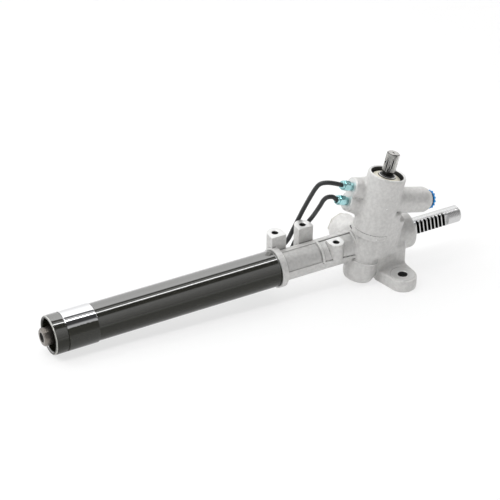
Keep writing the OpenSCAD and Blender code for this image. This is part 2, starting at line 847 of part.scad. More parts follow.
module torsion_pin() {
    color("gray") on_tower(pin_h) rotate([0, 90, 0])
        translate([0, 0, pin_in - spline_r]) cylinder(r = pin_r, h = 2 * (spline_r - pin_in));
}

// Gear housing

// Outline of the two feet and the beam between them, seen from above
module feet_outline() {
    for (y = foot_y) {
        s = sign(y);
        translate([foot_x, y]) circle(r = foot_r);
        polygon([
            [foot_x - foot_r, y], [foot_x + foot_r, y], [column_x0 + column_w, s * beam_y],
            [column_x0 - 1, s * beam_y]
        ]);
    }
}

module feet() {
    difference() {
        union() {
            translate([0, 0, -foot_z]) linear_extrude(height = foot_t) feet_outline();
            translate([column_x0, 0, 0]) rotate([90, 0, 90]) linear_extrude(height = column_w)
                polygon(concat(column_side, [for (i = [2:-1:0]) [-column_side[i][0], column_side[i][1]]]));
            for (y = foot_y)
                translate([foot_x, y, -foot_z]) cylinder(r = foot_r - pad_in, h = foot_t + pad_h);
        }
        for (y = foot_y)
            translate([foot_x, y, -foot_z - over]) cylinder(r = foot_hole_r, h = foot_t + pad_h + 2 * over);
    }
}

module neck() {
    on_rack(joint_x) cylinder(r = collar_r, h = collar_len);
    on_rack(joint_x + collar_len - over) cylinder(r = neck_r, h = pinion_x - joint_x - collar_len);
    for (i = [0:2])
        translate([joint_x + boss_x[i], boss_y[i], boss_base[i]])
            linear_extrude(height = boss_top[i] - boss_base[i])
                boss_outline(boss_r - boss_less[i], boss_flat[i]);
    neck_band(panel_x[0], panel_x[1] - panel_x[0], panel_turn, panel_h);
    for (rib = ribs) neck_band(rib[0], rib[1], rib_turn, rib_h);
    translate([joint_x + ribs[0][0] + 1, -top_rib[0] / 2, neck_r + rib_h - top_rib[1]])
        cube([ribs[1][0] - ribs[0][0], top_rib[0], top_rib[1]]);
    translate([joint_x, 0, 0] + rail_at) rotate([0, rail_drop, 0])
        translate([0, -rail_box[1] / 2 - rib_h, -rail_box[2] / 2]) cube(rail_box);
}

// A bracket boss seen from above: round at one side of its hole, with a flat face at the other
module boss_outline(r, flat) {
    circle(r = r);
    translate([-r * boss_side, flat[0]]) square([2 * r * boss_side, flat[1] - flat[0]]);
}

// A raised band on the neck, over a range of angles that are counted from the front upwards
module neck_band(x, len, turn, h) {
    on_rack(joint_x + x) rotate([0, 0, 270 - turn[1]]) rotate_extrude(angle = turn[1] - turn[0])
        translate([neck_r - over, 0]) square([over + h, len]);
}

module ports() {
    for (i = [0, 1]) on_port(i) translate([0, 0, -port_len])
        cylinder(r1 = port_r + port_flare, r2 = port_r, h = port_len);
    on_tower(inlet_h) rotate([0, 90, 0]) {
        cylinder(r = inlet_r, h = inlet_len - inlet_round);
        translate([0, 0, inlet_len - inlet_round])
            cylinder(r1 = inlet_r, r2 = inlet_face_r, h = inlet_round);
    }
}

module tower() {
    on_tower(cap_h1 - over) cylinder(r = lower_r, h = band_h0 - cap_h1 + 2 * over);
    on_tower(band_h0) cylinder(r = band_r, h = band_h1 - band_h0 + over);
    on_tower(band_h1) cylinder(r = tower_r, h = tower_h - band_h1);
    on_tower() rotate_extrude() polygon(concat(
        [[0, cap_h1], [0, -cap_h]], [for (d = dome) [cap_r + d[0], d[1] - cap_h]], [[cap_r, cap_h1]]
    ));
}

module housing_bores() {
    on_rack(joint_x - over) cylinder(r = tube_r, h = tube_in + over);
    on_rack(tube_x1 - over) cylinder(r = spigot_r, h = spigot_len + over);
    on_rack(joint_x) cylinder(r = bore_r, h = body_x1 - joint_x + over);
    on_rack(body_x1 - mouth_len) cylinder(r = mouth_r, h = mouth_len + over);
    on_guide(guide_y0 - over) cylinder(r = guide_r, h = guide_boss_y);
    on_tower(-cap_h - over) cylinder(r = low_brg_r, h = cap_h + over + low_brg_h0 + low_brg_w);
    on_tower(low_brg_h0) cylinder(r = shoulder_r + 0.5, h = valve_h0 - low_brg_h0);
    on_tower(up_brg_h0) cylinder(r = up_brg_r, h = valve_h0 - up_brg_h0 + over);
    on_tower(valve_h0) cylinder(r = valve_r, h = tower_h - valve_h0);
    on_tower(recess_h0) cylinder(r = recess_r, h = recess_h + over);
    on_tower(recess_h0 + cover_t) cylinder(r = recess_r + snap_in, h = wire);
    for (i = [0, 1]) on_port(i) translate([0, 0, -port_len]) cylinder(r = port_hole_r, h = port_len + over);
    on_tower(inlet_h) rotate([0, 90, 0]) cylinder(r = inlet_hole_r, h = inlet_len + over);
    for (i = [0:2])
        translate([joint_x + boss_x[i], boss_y[i], boss_top[i] - boss_hole_len])
            cylinder(r = boss_hole_r, h = boss_hole_len + over);
}

module gear_housing() {
    color("silver") difference() {
        union() {
            neck();
            on_rack(pinion_x - body_back) cylinder(r = body_r, h = body_back + body_end - boot_len);
            on_rack(body_x1 - boot_len - over) cylinder(r = boot_r, h = boot_len + over);
            on_guide(0) cylinder(r = guide_boss_r, h = guide_boss_y);
            tower();
            ports();
            feet();
        }
        housing_bores();
    }
}

gear_housing();
cylinder_tube();
clamp_seat();
end_bush();
end_rod_seal();
end_retaining_ring();
inner_bush();
inner_rod_seal();
joint_o_ring();
port_adapters();
pipe_long();
pipe_short();
valve_flare_nuts();
tube_flare_nuts();
inlet_plug();
rack_guide();
guide_liner();
guide_spring();
guide_plug();
guide_lock_nut();
bottom_plug();
lower_bearing_outer();
lower_bearing_balls();
upper_bearing_outer();
upper_bearing_balls();
pinion_seal();
shaft_bearing();
shaft_seal();
dust_cover();
tower_snap_ring();
rack_bar();
rack_piston();
piston_seal();
piston_clips();
pinion_shaft();
lower_bearing_inner();
upper_bearing_inner();
pinion_nut();
valve_sleeve();
sleeve_rings();
input_shaft();
torsion_bar();
torsion_pin();
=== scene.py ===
"""Looks of a hydraulic power steering gear, built round its CAD solids.

Shapes are written in millimetres in the part's frame and turned into metres when their mesh is made.
The casting is built the way the real one is made: a rounded rough casting, then machined faces and bores.
"""

import json
import math

import bmesh
import bpy
from mathutils import Matrix, Vector


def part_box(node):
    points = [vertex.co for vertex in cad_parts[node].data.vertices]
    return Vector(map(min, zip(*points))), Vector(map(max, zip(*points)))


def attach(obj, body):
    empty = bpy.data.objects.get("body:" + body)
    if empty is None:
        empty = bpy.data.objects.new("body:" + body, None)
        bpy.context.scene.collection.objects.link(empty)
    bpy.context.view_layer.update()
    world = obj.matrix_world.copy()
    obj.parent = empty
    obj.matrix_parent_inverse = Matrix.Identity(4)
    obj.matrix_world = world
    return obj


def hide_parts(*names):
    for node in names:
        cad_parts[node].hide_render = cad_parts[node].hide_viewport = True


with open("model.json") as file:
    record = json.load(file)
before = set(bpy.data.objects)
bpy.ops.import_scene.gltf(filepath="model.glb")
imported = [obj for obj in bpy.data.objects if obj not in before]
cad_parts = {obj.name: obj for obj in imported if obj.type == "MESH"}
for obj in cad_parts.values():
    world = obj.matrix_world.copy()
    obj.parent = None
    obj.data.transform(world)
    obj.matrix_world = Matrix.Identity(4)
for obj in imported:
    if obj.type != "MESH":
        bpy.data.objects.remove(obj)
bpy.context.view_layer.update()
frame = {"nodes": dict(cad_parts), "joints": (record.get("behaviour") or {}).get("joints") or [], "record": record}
record = frame["record"]
nodes = frame["nodes"]
mounts = {m["name"]: m for m in record["mounts"]}
joints = {j["name"]: j for j in frame["joints"]}

# Units and places from the frame, in millimetres
MM = 0.001
PER_M = 1 / MM
X, Y, Z = Vector((1, 0, 0)), Vector((0, 1, 0)), Vector((0, 0, 1))
PINION = Vector(joints["pinion_spin"]["pos_m"]) * PER_M
TILT_AXIS = Vector(joints["pinion_spin"]["axis"]).normalized()


def low(node):
    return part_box(node)[0] * PER_M


def high(node):
    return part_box(node)[1] * PER_M


BOOT = mounts["boot_seat_right"]
BOOT_R = BOOT["dims"]["r_mm"]
BOOT_LEN = BOOT["dims"]["length_mm"]
JOINT_X = low("gear_housing").x
BODY_END_X = BOOT["pos_m"][0] * PER_M + BOOT_LEN / 2
OPEN_END_X = low("cylinder_tube").x
FOOT_Z = low("gear_housing").z


def frame_at(origin, along, up=Y):
    """Matrix that puts a piece's origin at origin and its Z along a direction, with Y near up."""
    z = Vector(along).normalized()
    x = up.cross(z).normalized()
    y = z.cross(x)
    m = Matrix((x, y, z)).transposed().to_4x4()
    m.translation = Vector(origin)
    return m


RACK = frame_at((0, 0, 0), X)
TOWER = frame_at(PINION, TILT_AXIS)
GUIDE = frame_at((PINION.x, 0, 0), Y, up=Z)

# Rack bar: radius, holes in its ends, start of its teeth, their tips and roots, and its darker left end
RACK_R = 11.5
RACK_HOLE_R = 6.25
RACK_TEETH_X = 350
RACK_TIP_Y = -7.95
RACK_ROOT_Y = -4.6
RACK_DARK_END_X = -16

# Input shaft: its serrations and the height of its top
SPLINE_R = 8.6
SPLINE_DEEP = 0.95
SPLINE_TEETH = 36
SHAFT_TOP = 138

# Cylinder tube, and the band that its clamp sits on
TUBE_R = 24
TUBE_HOLE_R = 21
SEAT_R = 25.2
SEAT_X0 = low("clamp_seat").x
SEAT_X1 = high("clamp_seat").x


# Meshes

ON_AXIS = 1e-6
CORNER_STEPS = 4
CORNER_SHARE = 0.49
TURNED_SIDES = 96
ROD_SIDES = 72
FINE_SIDES = 160
BAR_SIDES = 20


def shares(count):
    """Equal steps from 0 to 1."""
    return [k / count for k in range(count + 1)]


def turns(count):
    """Equal steps round a circle, in radians."""
    return [2 * math.pi * k / count for k in range(count)]


def new_object(name, bm, matrix=None):
    """Object from a bmesh in millimetres."""
    if matrix is not None:
        bm.transform(matrix)
    bm.transform(Matrix.Scale(MM, 4))
    bmesh.ops.recalc_face_normals(bm, faces=bm.faces)
    mesh = bpy.data.meshes.new(name)
    bm.to_mesh(mesh)
    bm.free()
    made = bpy.data.objects.new(name, mesh)
    bpy.context.scene.collection.objects.link(made)
    return made


def rounded(corners):
    """Outline of (a, b, radius) corners, with each corner drawn as a short curve."""
    points = []
    for i, (a, b, radius) in enumerate(corners):
        here = Vector((a, b))
        if radius <= 0:
            points.append(here)
            continue
        before = Vector(corners[i - 1][:2]) - here
        after = Vector(corners[(i + 1) % len(corners)][:2]) - here
        half = before.angle(after) / 2
        back = radius / math.tan(half)
        start = here + before.normalized() * min(back, before.length * CORNER_SHARE)
        end = here + after.normalized() * min(back, after.length * CORNER_SHARE)
        for t in shares(CORNER_STEPS):
            points.append((1 - t) ** 2 * start + 2 * t * (1 - t) * here + t * t * end)
    return points


def turned(name, corners, matrix, sides=TURNED_SIDES):
    """Solid of revolution round Z from a closed outline of (r, z, radius) corners."""
    bm = bmesh.new()
    rings = []
    for r, z in rounded(corners):
        if r < ON_AXIS:
            rings.append([bm.verts.new((0, 0, z))])
        else:
            rings.append([bm.verts.new((r * math.cos(a), r * math.sin(a), z)) for a in turns(sides)])
    for one, two in zip(rings, rings[1:] + rings[:1]):
        for k in range(sides):
            loop = [one[k % len(one)], one[(k + 1) % len(one)], two[(k + 1) % len(two)], two[k % len(two)]]
            face = [v for i, v in enumerate(loop) if v is not loop[i - 1]]
            if len(face) > 2:
                bm.faces.new(face)
    return new_object(name, bm, matrix)


def rod(name, r, z0, z1, matrix):
    """Cylinder along Z."""
    return turned(name, [(0, z0, 0), (r, z0, 0), (r, z1, 0), (0, z1, 0)], matrix, ROD_SIDES)


def prism(name, outline, z0, z1, matrix=None):
    """Straight prism on an outline of (x, y) points."""
    bm = bmesh.new()
    floor = [bm.verts.new((x, y, z0)) for x, y in outline]
    roof = [bm.verts.new((x, y, z1)) for x, y in outline]
    bm.faces.new(floor)
    bm.faces.new(roof)
    for i in range(len(outline)):
        bm.faces.new([floor[i - 1], floor[i], roof[i], roof[i - 1]])
    return new_object(name, bm, matrix)


def block(name, lowest, highest, matrix=None):
    """Box between its lowest and its highest corner."""
    (x0, y0, z0), (x1, y1, z1) = lowest, highest
    return prism(name, [(x0, y0), (x1, y0), (x1, y1), (x0, y1)], z0, z1, matrix)


def baked(thing):
    """Applies the modifiers of an object to its mesh."""
    bpy.context.view_layer.update()
    shape = bpy.data.meshes.new_from_object(thing.evaluated_get(bpy.context.evaluated_depsgraph_get()))
    thing.modifiers.clear()
    thing.data = shape
    return thing


def combine(target, others, operation):
    """Boolean of an object with others, which are used up."""
    for other in others:
        step = target.modifiers.new(operation, "BOOLEAN")
        step.operation = operation
        step.solver = "MANIFOLD"
        step.object = other
    baked(target)
    for other in others:
        bpy.data.objects.remove(other)
    return target


def smooth(thing, angle=35):
    """Smooth shading that keeps edges sharper than an angle."""
    thing.data.polygons.foreach_set("use_smooth", [True] * len(thing.data.polygons))
    thing.data.set_sharp_from_angle(angle=math.radians(angle))
    return thing


def dress(thing, finish, body, slot, *replaced):
    """Gives a piece its material and its body, and hides the CAD nodes that it stands for; slot is not used."""
    thing.data.materials.clear()
    thing.data.materials.append(finish)
    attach(thing, body)
    if replaced:
        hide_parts(*replaced)
    return thing


# Materials

NOISE_RANGE = (0.3, 0.7)
SHARP_MM = 0.05


def node(tree, kind, inputs=(), **settings):
    """Shader node; its inputs are values or outputs of other nodes."""
    made = tree.nodes.new(kind)
    for name, value in settings.items():
        setattr(made, name, value)
    for socket, value in dict(inputs).items():
        if isinstance(value, bpy.types.NodeSocket):
            tree.links.new(value, made.inputs[socket])
        else:
            made.inputs[socket].default_value = value
    return made


def blend(tree, factor, a, b):
    """Mixes two colours."""
    made = node(tree, "ShaderNodeMix", {"Factor": factor}, data_type="RGBA")
    for socket, value in (("A", a), ("B", b)):
        target = next(s for s in made.inputs if s.name == socket and s.type == "RGBA")
        if isinstance(value, bpy.types.NodeSocket):
            tree.links.new(value, target)
        else:
            target.default_value = (*value, 1)
    return next(s for s in made.outputs if s.type == "RGBA")


class Finish:
    """A material, with short calls for the nodes that shape its colour, roughness and relief."""

    def __init__(self, name, color, roughness, metallic=0.0, **sockets):
        self.material = bpy.data.materials.new(name)
        self.material.use_nodes = True
        self.tree = self.material.node_tree
        self.shader = self.tree.nodes["Principled BSDF"]
        values = {"Base Color": (*color, 1), "Roughness": roughness, "Metallic": metallic, **sockets}
        for socket, value in values.items():
            self.shader.inputs[socket.replace("_", " ")].default_value = value
        self.place = self.tree.nodes.new("ShaderNodeTexCoord").outputs["Object"]
        self.normal = None

    def add(self, kind, inputs=(), **settings):
        return node(self.tree, kind, inputs, **settings)

    def noise(self, size_mm, detail=3, stretch=(1, 1, 1)):
        """Noise with features of a size in millimetres, drawn out along the axes by stretch."""
        scale = [PER_M / size_mm / s for s in stretch]
        place = self.add("ShaderNodeMapping", {"Vector": self.place, "Scale": scale}).outputs[0]
        return self.add("ShaderNodeTexNoise", {"Vector": place, "Scale": 1, "Detail": detail}).outputs["Fac"]

    def turn_to(self, matrix):
        """Counts places in the axes of a matrix that is in millimetres."""
        inputs = {"Vector": self.place, "Location": matrix.translation * MM, "Rotation": matrix.to_euler()}
        self.place = self.add("ShaderNodeMapping", inputs, vector_type="TEXTURE").outputs[0]

    def split(self):
        """The three coordinates of a place, in metres."""
        return self.add("ShaderNodeSeparateXYZ", {"Vector": self.place}).outputs

    def math(self, operation, a, b=0.0):
        return self.add("ShaderNodeMath", {0: a, 1: b}, operation=operation).outputs[0]

    def radius(self, a, b):
        """Distance from an axis, from the two coordinates across it."""
        return self.math("SQRT", self.math("ADD", self.math("MULTIPLY", a, a), self.math("MULTIPLY", b, b)))

    def ramp(self, value, low_in, high_in, low_out=0.0, high_out=1.0):
        """Maps a value between two limits, with soft ends."""
        limits = {"From Min": low_in, "From Max": high_in, "To Min": low_out, "To Max": high_out}
        inputs = {"Value": value, **limits}
        return self.add("ShaderNodeMapRange", inputs, interpolation_type="SMOOTHSTEP").outputs[0]

    def vary(self, noise, low_out=0.0, high_out=1.0):
        """Spreads the middle of a noise over a range."""
        return self.ramp(noise, *NOISE_RANGE, low_out, high_out)

    def above(self, value, limit_mm):
        """1 where a length is over a limit, 0 under it."""
        return self.ramp(value, (limit_mm - SHARP_MM) * MM, (limit_mm + SHARP_MM) * MM)

    def below(self, value, limit_mm, soft_mm=SHARP_MM):
        """1 where a length is under a limit, 0 over it."""
        return self.ramp(value, (limit_mm - soft_mm) * MM, (limit_mm + soft_mm) * MM, 1.0, 0.0)

    def all_of(self, *masks):
        """Product of masks."""
        whole = masks[0]
        for mask in masks[1:]:
            whole = self.math("MULTIPLY", whole, mask)
        return whole

    def mix(self, factor, a, b):
        return blend(self.tree, factor, a, b)

    def set(self, socket, value):
        self.tree.links.new(value, self.shader.inputs[socket])

    def relief(self, height, depth_mm, strength):
        """Adds a bump of a depth in millimetres."""
        inputs = {"Height": height, "Distance": depth_mm * MM, "Strength": strength}
        if self.normal:
            inputs["Normal"] = self.normal
        self.normal = self.add("ShaderNodeBump", inputs).outputs[0]
        self.set("Normal", self.normal)


PAINT = (0.017, 0.017, 0.0115)
# Paler paint round the rim of the tube's open end
RIM_PALE_PAINT = (0.4, 0.4, 0.37)
# Black for oil and painted shade in tooth gaps and serrations, and painted shade in holes
OIL_AND_SHADE_BLACK = (0.008, 0.008, 0.008)
GROUND_STEEL = (0.8, 0.8, 0.81)
RACK_METAL = (0.62, 0.62, 0.62)
# Darker colour of the rack's left end
RACK_DARK_END = (0.24, 0.22, 0.2)
SHAFT_GREY = (0.5, 0.49, 0.47)
# Dark and bright steel of the shaft's streaks: oil and wear, and also painted highlight and shade
SHAFT_DARK = (0.13, 0.13, 0.13)
SHAFT_BRIGHT = (0.92, 0.91, 0.88)
# Painted shade on the lower end of the shaft, down in the tower's mouth
SHAFT_LOW_PAINTED_SHADE = (0.03, 0.03, 0.03)
SKIN_DARK = (0.58, 0.573, 0.562)
SKIN_LIGHT = (0.67, 0.663, 0.65)
# Painted shade for creases, and a lighter colour for edges that is rubbed wear and painted highlight
CREASE_PAINTED_SHADE = (0.1, 0.1, 0.095)
EDGE_WEAR_AND_HIGHLIGHT = (0.88, 0.88, 0.87)

# Curvature of a surface where the painted shade in creases ends, and where the lighter edges begin, which are
# rubbed wear and painted highlight
CREASES = (0.45, 0.497)
EDGES = (0.51, 0.57)

# Half angle of the clamp's saddle on its band, its ragged edge in radians, and the width of the paler rim of the
# tube
SEAT_TURN = 50
SEAT_RAGGED = 0.02
RIM_PALE_WIDTH = 1.2

# Heights of the shaft under its top: its flat end, and where the painted shade of its lower end begins
SHAFT_END_FACE = 0.3
SHAFT_SHADE_FROM = 26


def cast_aluminium(name="cast_aluminium", tone=1.0, creased=True):
    """Sand-cast skin, mottled and grainy. A creased one has painted shade in its creases, and edges made lighter
    as rubbed wear and painted highlight.
    """
    f = Finish(name, [0.54 * tone] * 3, 0.5, metallic=0.35)
    grain = f.noise(1.1, 4)
    dark, light = ([c * tone for c in color] for color in (SKIN_DARK, SKIN_LIGHT))
    skin = f.mix(f.vary(f.noise(4, 6)), dark, light)
    if creased:
        curve = f.add("ShaderNodeNewGeometry").outputs["Pointiness"]
        # Creases get painted shade; convex edges get rubbed wear and painted highlight
        crease_shaded = f.mix(f.ramp(curve, *CREASES, 1.0, 0.0), skin, CREASE_PAINTED_SHADE)
        skin = f.mix(f.ramp(curve, *EDGES), crease_shaded, EDGE_WEAR_AND_HIGHLIGHT)
    f.set("Base Color", skin)
    f.set("Roughness", f.ramp(grain, 0.2, 0.8, 0.42, 0.58))
    f.relief(f.noise(6, 2), 0.15, 0.6)
    f.relief(grain, 0.08, 0.65)
    return f.material


def machined_aluminium():
    """Faces fresh from the mill or the lathe."""
    f = Finish("machined_aluminium", (0.74, 0.74, 0.73), 0.4, metallic=0.75)
    lines = f.noise(0.25, 2)
    f.set("Roughness", f.vary(lines, 0.34, 0.48))
    f.relief(lines, 0.01, 0.4)
    return f.material


def bore_painted_shade():
    """Wall of a drilled hole, painted dark as shade."""
    # Near-black aluminium: painted shade in bores and seams
    f = Finish("bore_painted_shade", (0.06, 0.06, 0.06), 0.45, metallic=0.6)
    rings = f.noise(0.8, 3)
    f.set("Base Color", f.mix(f.vary(rings), (0.035, 0.035, 0.035), (0.1, 0.1, 0.098)))
    f.set("Roughness", f.vary(rings, 0.35, 0.6))
    f.relief(rings, 0.02, 0.5)
    return f.material


def tube_paint():
    """Dark olive paint, glossy on top and dull below, paler round the rim of the open end."""
    f = Finish("tube_paint", PAINT, 0.2, Coat_Roughness=0.03, Coat_IOR=2.5, Specular_IOR_Level=0.3)
    places = f.split()
    near_end = f.below(places["X"], OPEN_END_X + RIM_PALE_WIDTH)
    near_side = f.above(f.radius(places["Y"], places["Z"]), SEAT_R - RIM_PALE_WIDTH)
    # The rim of the open end gets the paler paint
    f.set("Base Color", f.mix(f.all_of(near_end, near_side), PAINT, RIM_PALE_PAINT))
    facing = f.add("ShaderNodeNewGeometry").outputs["Normal"]
    up = f.add("ShaderNodeSeparateXYZ", {"Vector": facing}).outputs["Z"]
    f.set("Coat Weight", f.ramp(up, 0.15, 0.75))
    f.set("Roughness", f.vary(f.noise(9, 4), 0.15, 0.24))
    f.relief(f.noise(2.5, 2), 0.006, 0.3)
    return f.material


def clamp_band():
    """Ground steel where the clamp's saddle sits on top, painted over the rest of the way round."""
    f = Finish("clamp_band", PAINT, 0.16, metallic=1.0)
    places = f.split()
    turn = f.math("ABSOLUTE", f.math("ARCTAN2", places["Y"], places["Z"]))
    ragged = f.math("ADD", turn, f.vary(f.noise(3, 3), -SEAT_RAGGED, SEAT_RAGGED))
    edge = math.radians(SEAT_TURN)
    bare = f.ramp(ragged, edge - SEAT_RAGGED, edge + SEAT_RAGGED, 1.0, 0.0)
    lines = f.noise(0.4, 3, (0.3, 1, 1))
    f.set("Base Color", f.mix(bare, PAINT, GROUND_STEEL))
    f.set("Metallic", bare)
    f.set("Roughness", f.vary(lines, 0.05, 0.1))
    f.relief(lines, 0.002, 0.3)
    return f.material


def rack_metal():
    """Ground steel bar, with oil and painted shade in its tooth gaps, painted shade in the holes of its ends, and
    a darker left end.
    """
    f = Finish("rack_metal", RACK_METAL, 0.3, metallic=1.0)
    places = f.split()
    radius = f.radius(places["Y"], places["Z"])
    # Tooth gaps get oil and painted shade; the end holes get painted shade
    gap = f.all_of(
        f.above(places["X"], RACK_TEETH_X),
        f.below(radius, RACK_R - 0.12),
        f.above(places["Y"], RACK_TIP_Y + 0.1),
        f.below(places["Y"], RACK_ROOT_Y + 0.3),
    )
    hole = f.below(radius, RACK_HOLE_R + 0.1)
    shade_and_oil = f.math("MAXIMUM", gap, hole)
    lines = f.noise(0.4, 3, (0.3, 1, 1))
    # The rack's left end is darker
    darker_end = f.mix(f.below(places["X"], RACK_DARK_END_X, 4), RACK_METAL, RACK_DARK_END)
    f.set("Base Color", f.mix(shade_and_oil, darker_end, OIL_AND_SHADE_BLACK))
    f.set("Roughness", f.vary(lines, 0.24, 0.36))
    f.relief(lines, 0.006, 0.4)
    return f.material


def shaft_metal():
    """Turned steel with oil and painted shade in its serrations, painted shade on its lower end, and light and
    dark streaks along it that are oil and wear and also painted highlight and shade.
    """
    f = Finish("shaft_metal", SHAFT_GREY, 0.3, metallic=1.0)
    f.turn_to(TOWER)
    places = f.split()
    # Serration grooves get oil and painted shade
    groove = f.below(f.radius(places["X"], places["Y"]), SPLINE_R - SPLINE_DEEP * 0.45, 0.2)
    beside = f.below(places["Z"], SHAFT_TOP - SHAFT_END_FACE)
    # Streaks along the shaft: oil and wear, and also painted highlight and shade of the serrations
    streak = f.ramp(f.noise(1.6, 3, (1, 1, 14)), 0.38, 0.5)
    steel = f.mix(streak, SHAFT_DARK, SHAFT_BRIGHT)
    ridge = f.mix(f.all_of(groove, beside), steel, OIL_AND_SHADE_BLACK)
    top = f.above(places["Z"], SHAFT_TOP - SHAFT_END_FACE)
    lit = f.mix(top, ridge, SHAFT_GREY)
    # The lower end of the shaft is painted shade
    f.set("Base Color", f.mix(f.below(places["Z"], SHAFT_TOP - SHAFT_SHADE_FROM, 1.5), lit, SHAFT_LOW_PAINTED_SHADE))
    f.set("Roughness", f.ramp(streak, 0.0, 1.0, 0.2, 0.36))
    f.relief(streak, 0.02, 0.4)
    return f.material


def plain(name, color, roughness, metallic, size_mm=1.0, depth_mm=0.02, spread=0.06):
    """A finish with a fine grain, whose tone and roughness vary a little."""
    f = Finish(name, color, roughness, metallic)
    grain = f.noise(size_mm, 4)
    darker = [c * (1 - 2 * spread) for c in color]
    brighter = [min(1, c * (1 + spread)) for c in color]
    f.set("Base Color", f.mix(f.vary(f.noise(size_mm * 12, 3)), darker, brighter))
    f.set("Roughness", f.ramp(grain, 0.25, 0.75, max(0.03, roughness - spread), roughness + spread))
    f.relief(grain, depth_mm, 0.4)
    return f.material


# Colour, roughness, metallic, then the grain's size and depth in millimetres and the spread of tone
FINISHES = {
    "casting": cast_aluminium(),
    "tube_paint": tube_paint(),
    "bright_steel": plain("ground_steel", (0.78, 0.78, 0.79), 0.16, 1.0, 0.4, 0.004, 0.04),
    "machined_alloy": plain("turned_alloy", (0.72, 0.72, 0.71), 0.32, 0.95, 0.5, 0.01),
    "seal_rubber": plain("seal_rubber", (0.018, 0.018, 0.018), 0.55, 0.0, 1.2, 0.03),
    "spring_steel": plain("spring_steel", (0.1, 0.1, 0.105), 0.36, 0.8, 1.2, 0.02),
    "pipe_coating": plain("pipe_coating", (0.02, 0.021, 0.022), 0.4, 0.0, 1.5, 0.03),
    "teal_plating": plain("teal_plating", (0.4, 0.68, 0.7), 0.16, 0.95, 1.0, 0.01),
    "blue_plastic": plain("blue_plastic", (0.005, 0.32, 0.78), 0.3, 0.0, 2.0, 0.02),
    "liner_plastic": plain("liner_plastic", (0.2, 0.11, 0.06), 0.5, 0.0, 1.0, 0.02),
    "plug_steel": plain("plug_steel", (0.55, 0.54, 0.5), 0.34, 0.9, 0.8, 0.02),
    "bearing_steel": plain("bearing_steel", (0.7, 0.7, 0.71), 0.18, 1.0, 0.8, 0.005),
    "cover_enamel": plain("cover_enamel", (0.72, 0.69, 0.58), 0.4, 0.2, 1.5, 0.02),
    "rack_steel": plain("rack_steel", (0.62, 0.62, 0.61), 0.26, 1.0, 0.6, 0.01),
    "shaft_steel": plain("shaft_steel", (0.5, 0.49, 0.47), 0.34, 0.95, 0.8, 0.02),
}
CASTING_FINISHES = [
    FINISHES["casting"],
    machined_aluminium(),
    bore_painted_shade(),
    cast_aluminium("panel_skin", 0.86, False),
    cast_aluminium("panel_rim", 0.6, False),
]
SKIN_SLOT, FACE_SLOT, BORE_SLOT, PANEL_SLOT, RIM_SLOT = range(5)
SHAFT_METAL = shaft_metal()
CLAMP_BAND = clamp_band()
# Threads in the rack's end holes are near black: painted shade in the holes
THREAD_PAINTED_SHADE = plain("thread_shade_metal", (0.045, 0.045, 0.043), 0.4, 0.8, 0.8, 0.02)
# Darker copy of the plug's blue plastic: painted shade on its flange and stem
BLUE_PAINTED_SHADE = plain("blue_plastic_painted_shade", (0.006, 0.03, 0.12), 0.4, 0.0, 2.0, 0.02)

for part in record["subparts"]:
    mesh = nodes[part["node"]].data
    mesh.materials.clear()
    mesh.materials.append(FINISHES[part["material_slot"]])
nodes["rack_bar"].data.materials[0] = rack_metal()


# Casting: main forms with wide fillets, then details with narrow ones, then the machined faces

# Metal left for machining, reach of the tools past a face, and overlap of forms that are joined
MACHINING = 0.4
AWAY = 8
OVERLAP = 1

# Size of a cell and number of smoothing passes, for the wide and for the narrow fillets
COARSE = 1.25, 14
FINE = 0.6, 2

# Neck, its collar, its ribs and its rail; angles are counted from the front upwards
COLLAR_R = 26.5
COLLAR_LEN = 8.5
NECK_R = 20.6
NECK_BACK = 2
BAND_FLOOR_R = NECK_R - 2
RIB_R = NECK_R + 1.7
RIBS = [(62.5, 3), (113.5, 5)]
RIB_TURNS = 2, 93
TOP_RIB_HALF = 1.2
TOP_RIB_LOW = 18
RAIL = [(64, -0.9), (64, 2.1), (116, -2.6), (116, -5.8)]
RAIL_HEIGHTS = 16.7, 22.7

# Raised panel on the neck, with a thin frame
PANEL_X = 10.5, 61
PANEL_TURNS = 6, 86
PANEL_HEIGHT = 0.5
FRAME_HEIGHT = 1.1
FRAME_TURN = 2.5
FRAME_WIDTH = 1

# Rack body
BODY_R = 26.0
BODY_BACK = 14
BODY_EDGE = 2
BOOT_STEP = 1
BOOT_EDGE = 2.5

# Tower, the narrower band and foot under it, and the cap below with its dome of (step in, height, radius)
TOWER_R = 25.2
BAND_R = 24.1
LOWER_R = 19
BAND_LOW = 21.5
BAND_HIGH = 29.5
TOWER_TOP = 108.6
TOWER_EDGE_LEN = 12
CAP_R = 21.8
CAP_LOW = -43.5
CAP_HIGH = -14
CAP_EDGE = 1
CAP_EDGE_LEN = 10
CAP_DOME = [(4.2, -MACHINING, 0.8), (2.3, 2.5, 1.5), (0.8, 6.5, 3), (0, 13.5, 4)]

# Seams round the tower's foot: heights, radii left inside them, angles and half their width
SEAMS = [(21.3, 18.4), (29.3, 22.2)]
SEAM_TURNS = 120, 292
SEAM_HALF = 0.45
SEAM_REACH = 4
SEAM_STEPS = 60

# Boss of the rack guide
GUIDE_BOSS_R = 20
GUIDE_BOSS_END = 46
GUIDE_HOLE_R = 14
GUIDE_HOLE_DEEP = GUIDE_BOSS_END - 2
GUIDE_FACE_R = 28

# Ports for the pipes, with a flare of (step out, height, radius) from their root to their face
PORT_R = 11.5
PORT_LEN = 24
PORT_TILT = 24
PORT_OUT = 10
PORT_HOLE_R = 5
PORT_FACE_R = PORT_R + 3
PORT_FLARE = [(7, -PORT_LEN, 0), (2.6, -3, 5), (1, PORT_OUT, 1.2)]
PORT_FACES = [PINION + Vector((-8.1, 15, 86.1)), PINION + Vector((-14.7, 15, 66.1))]

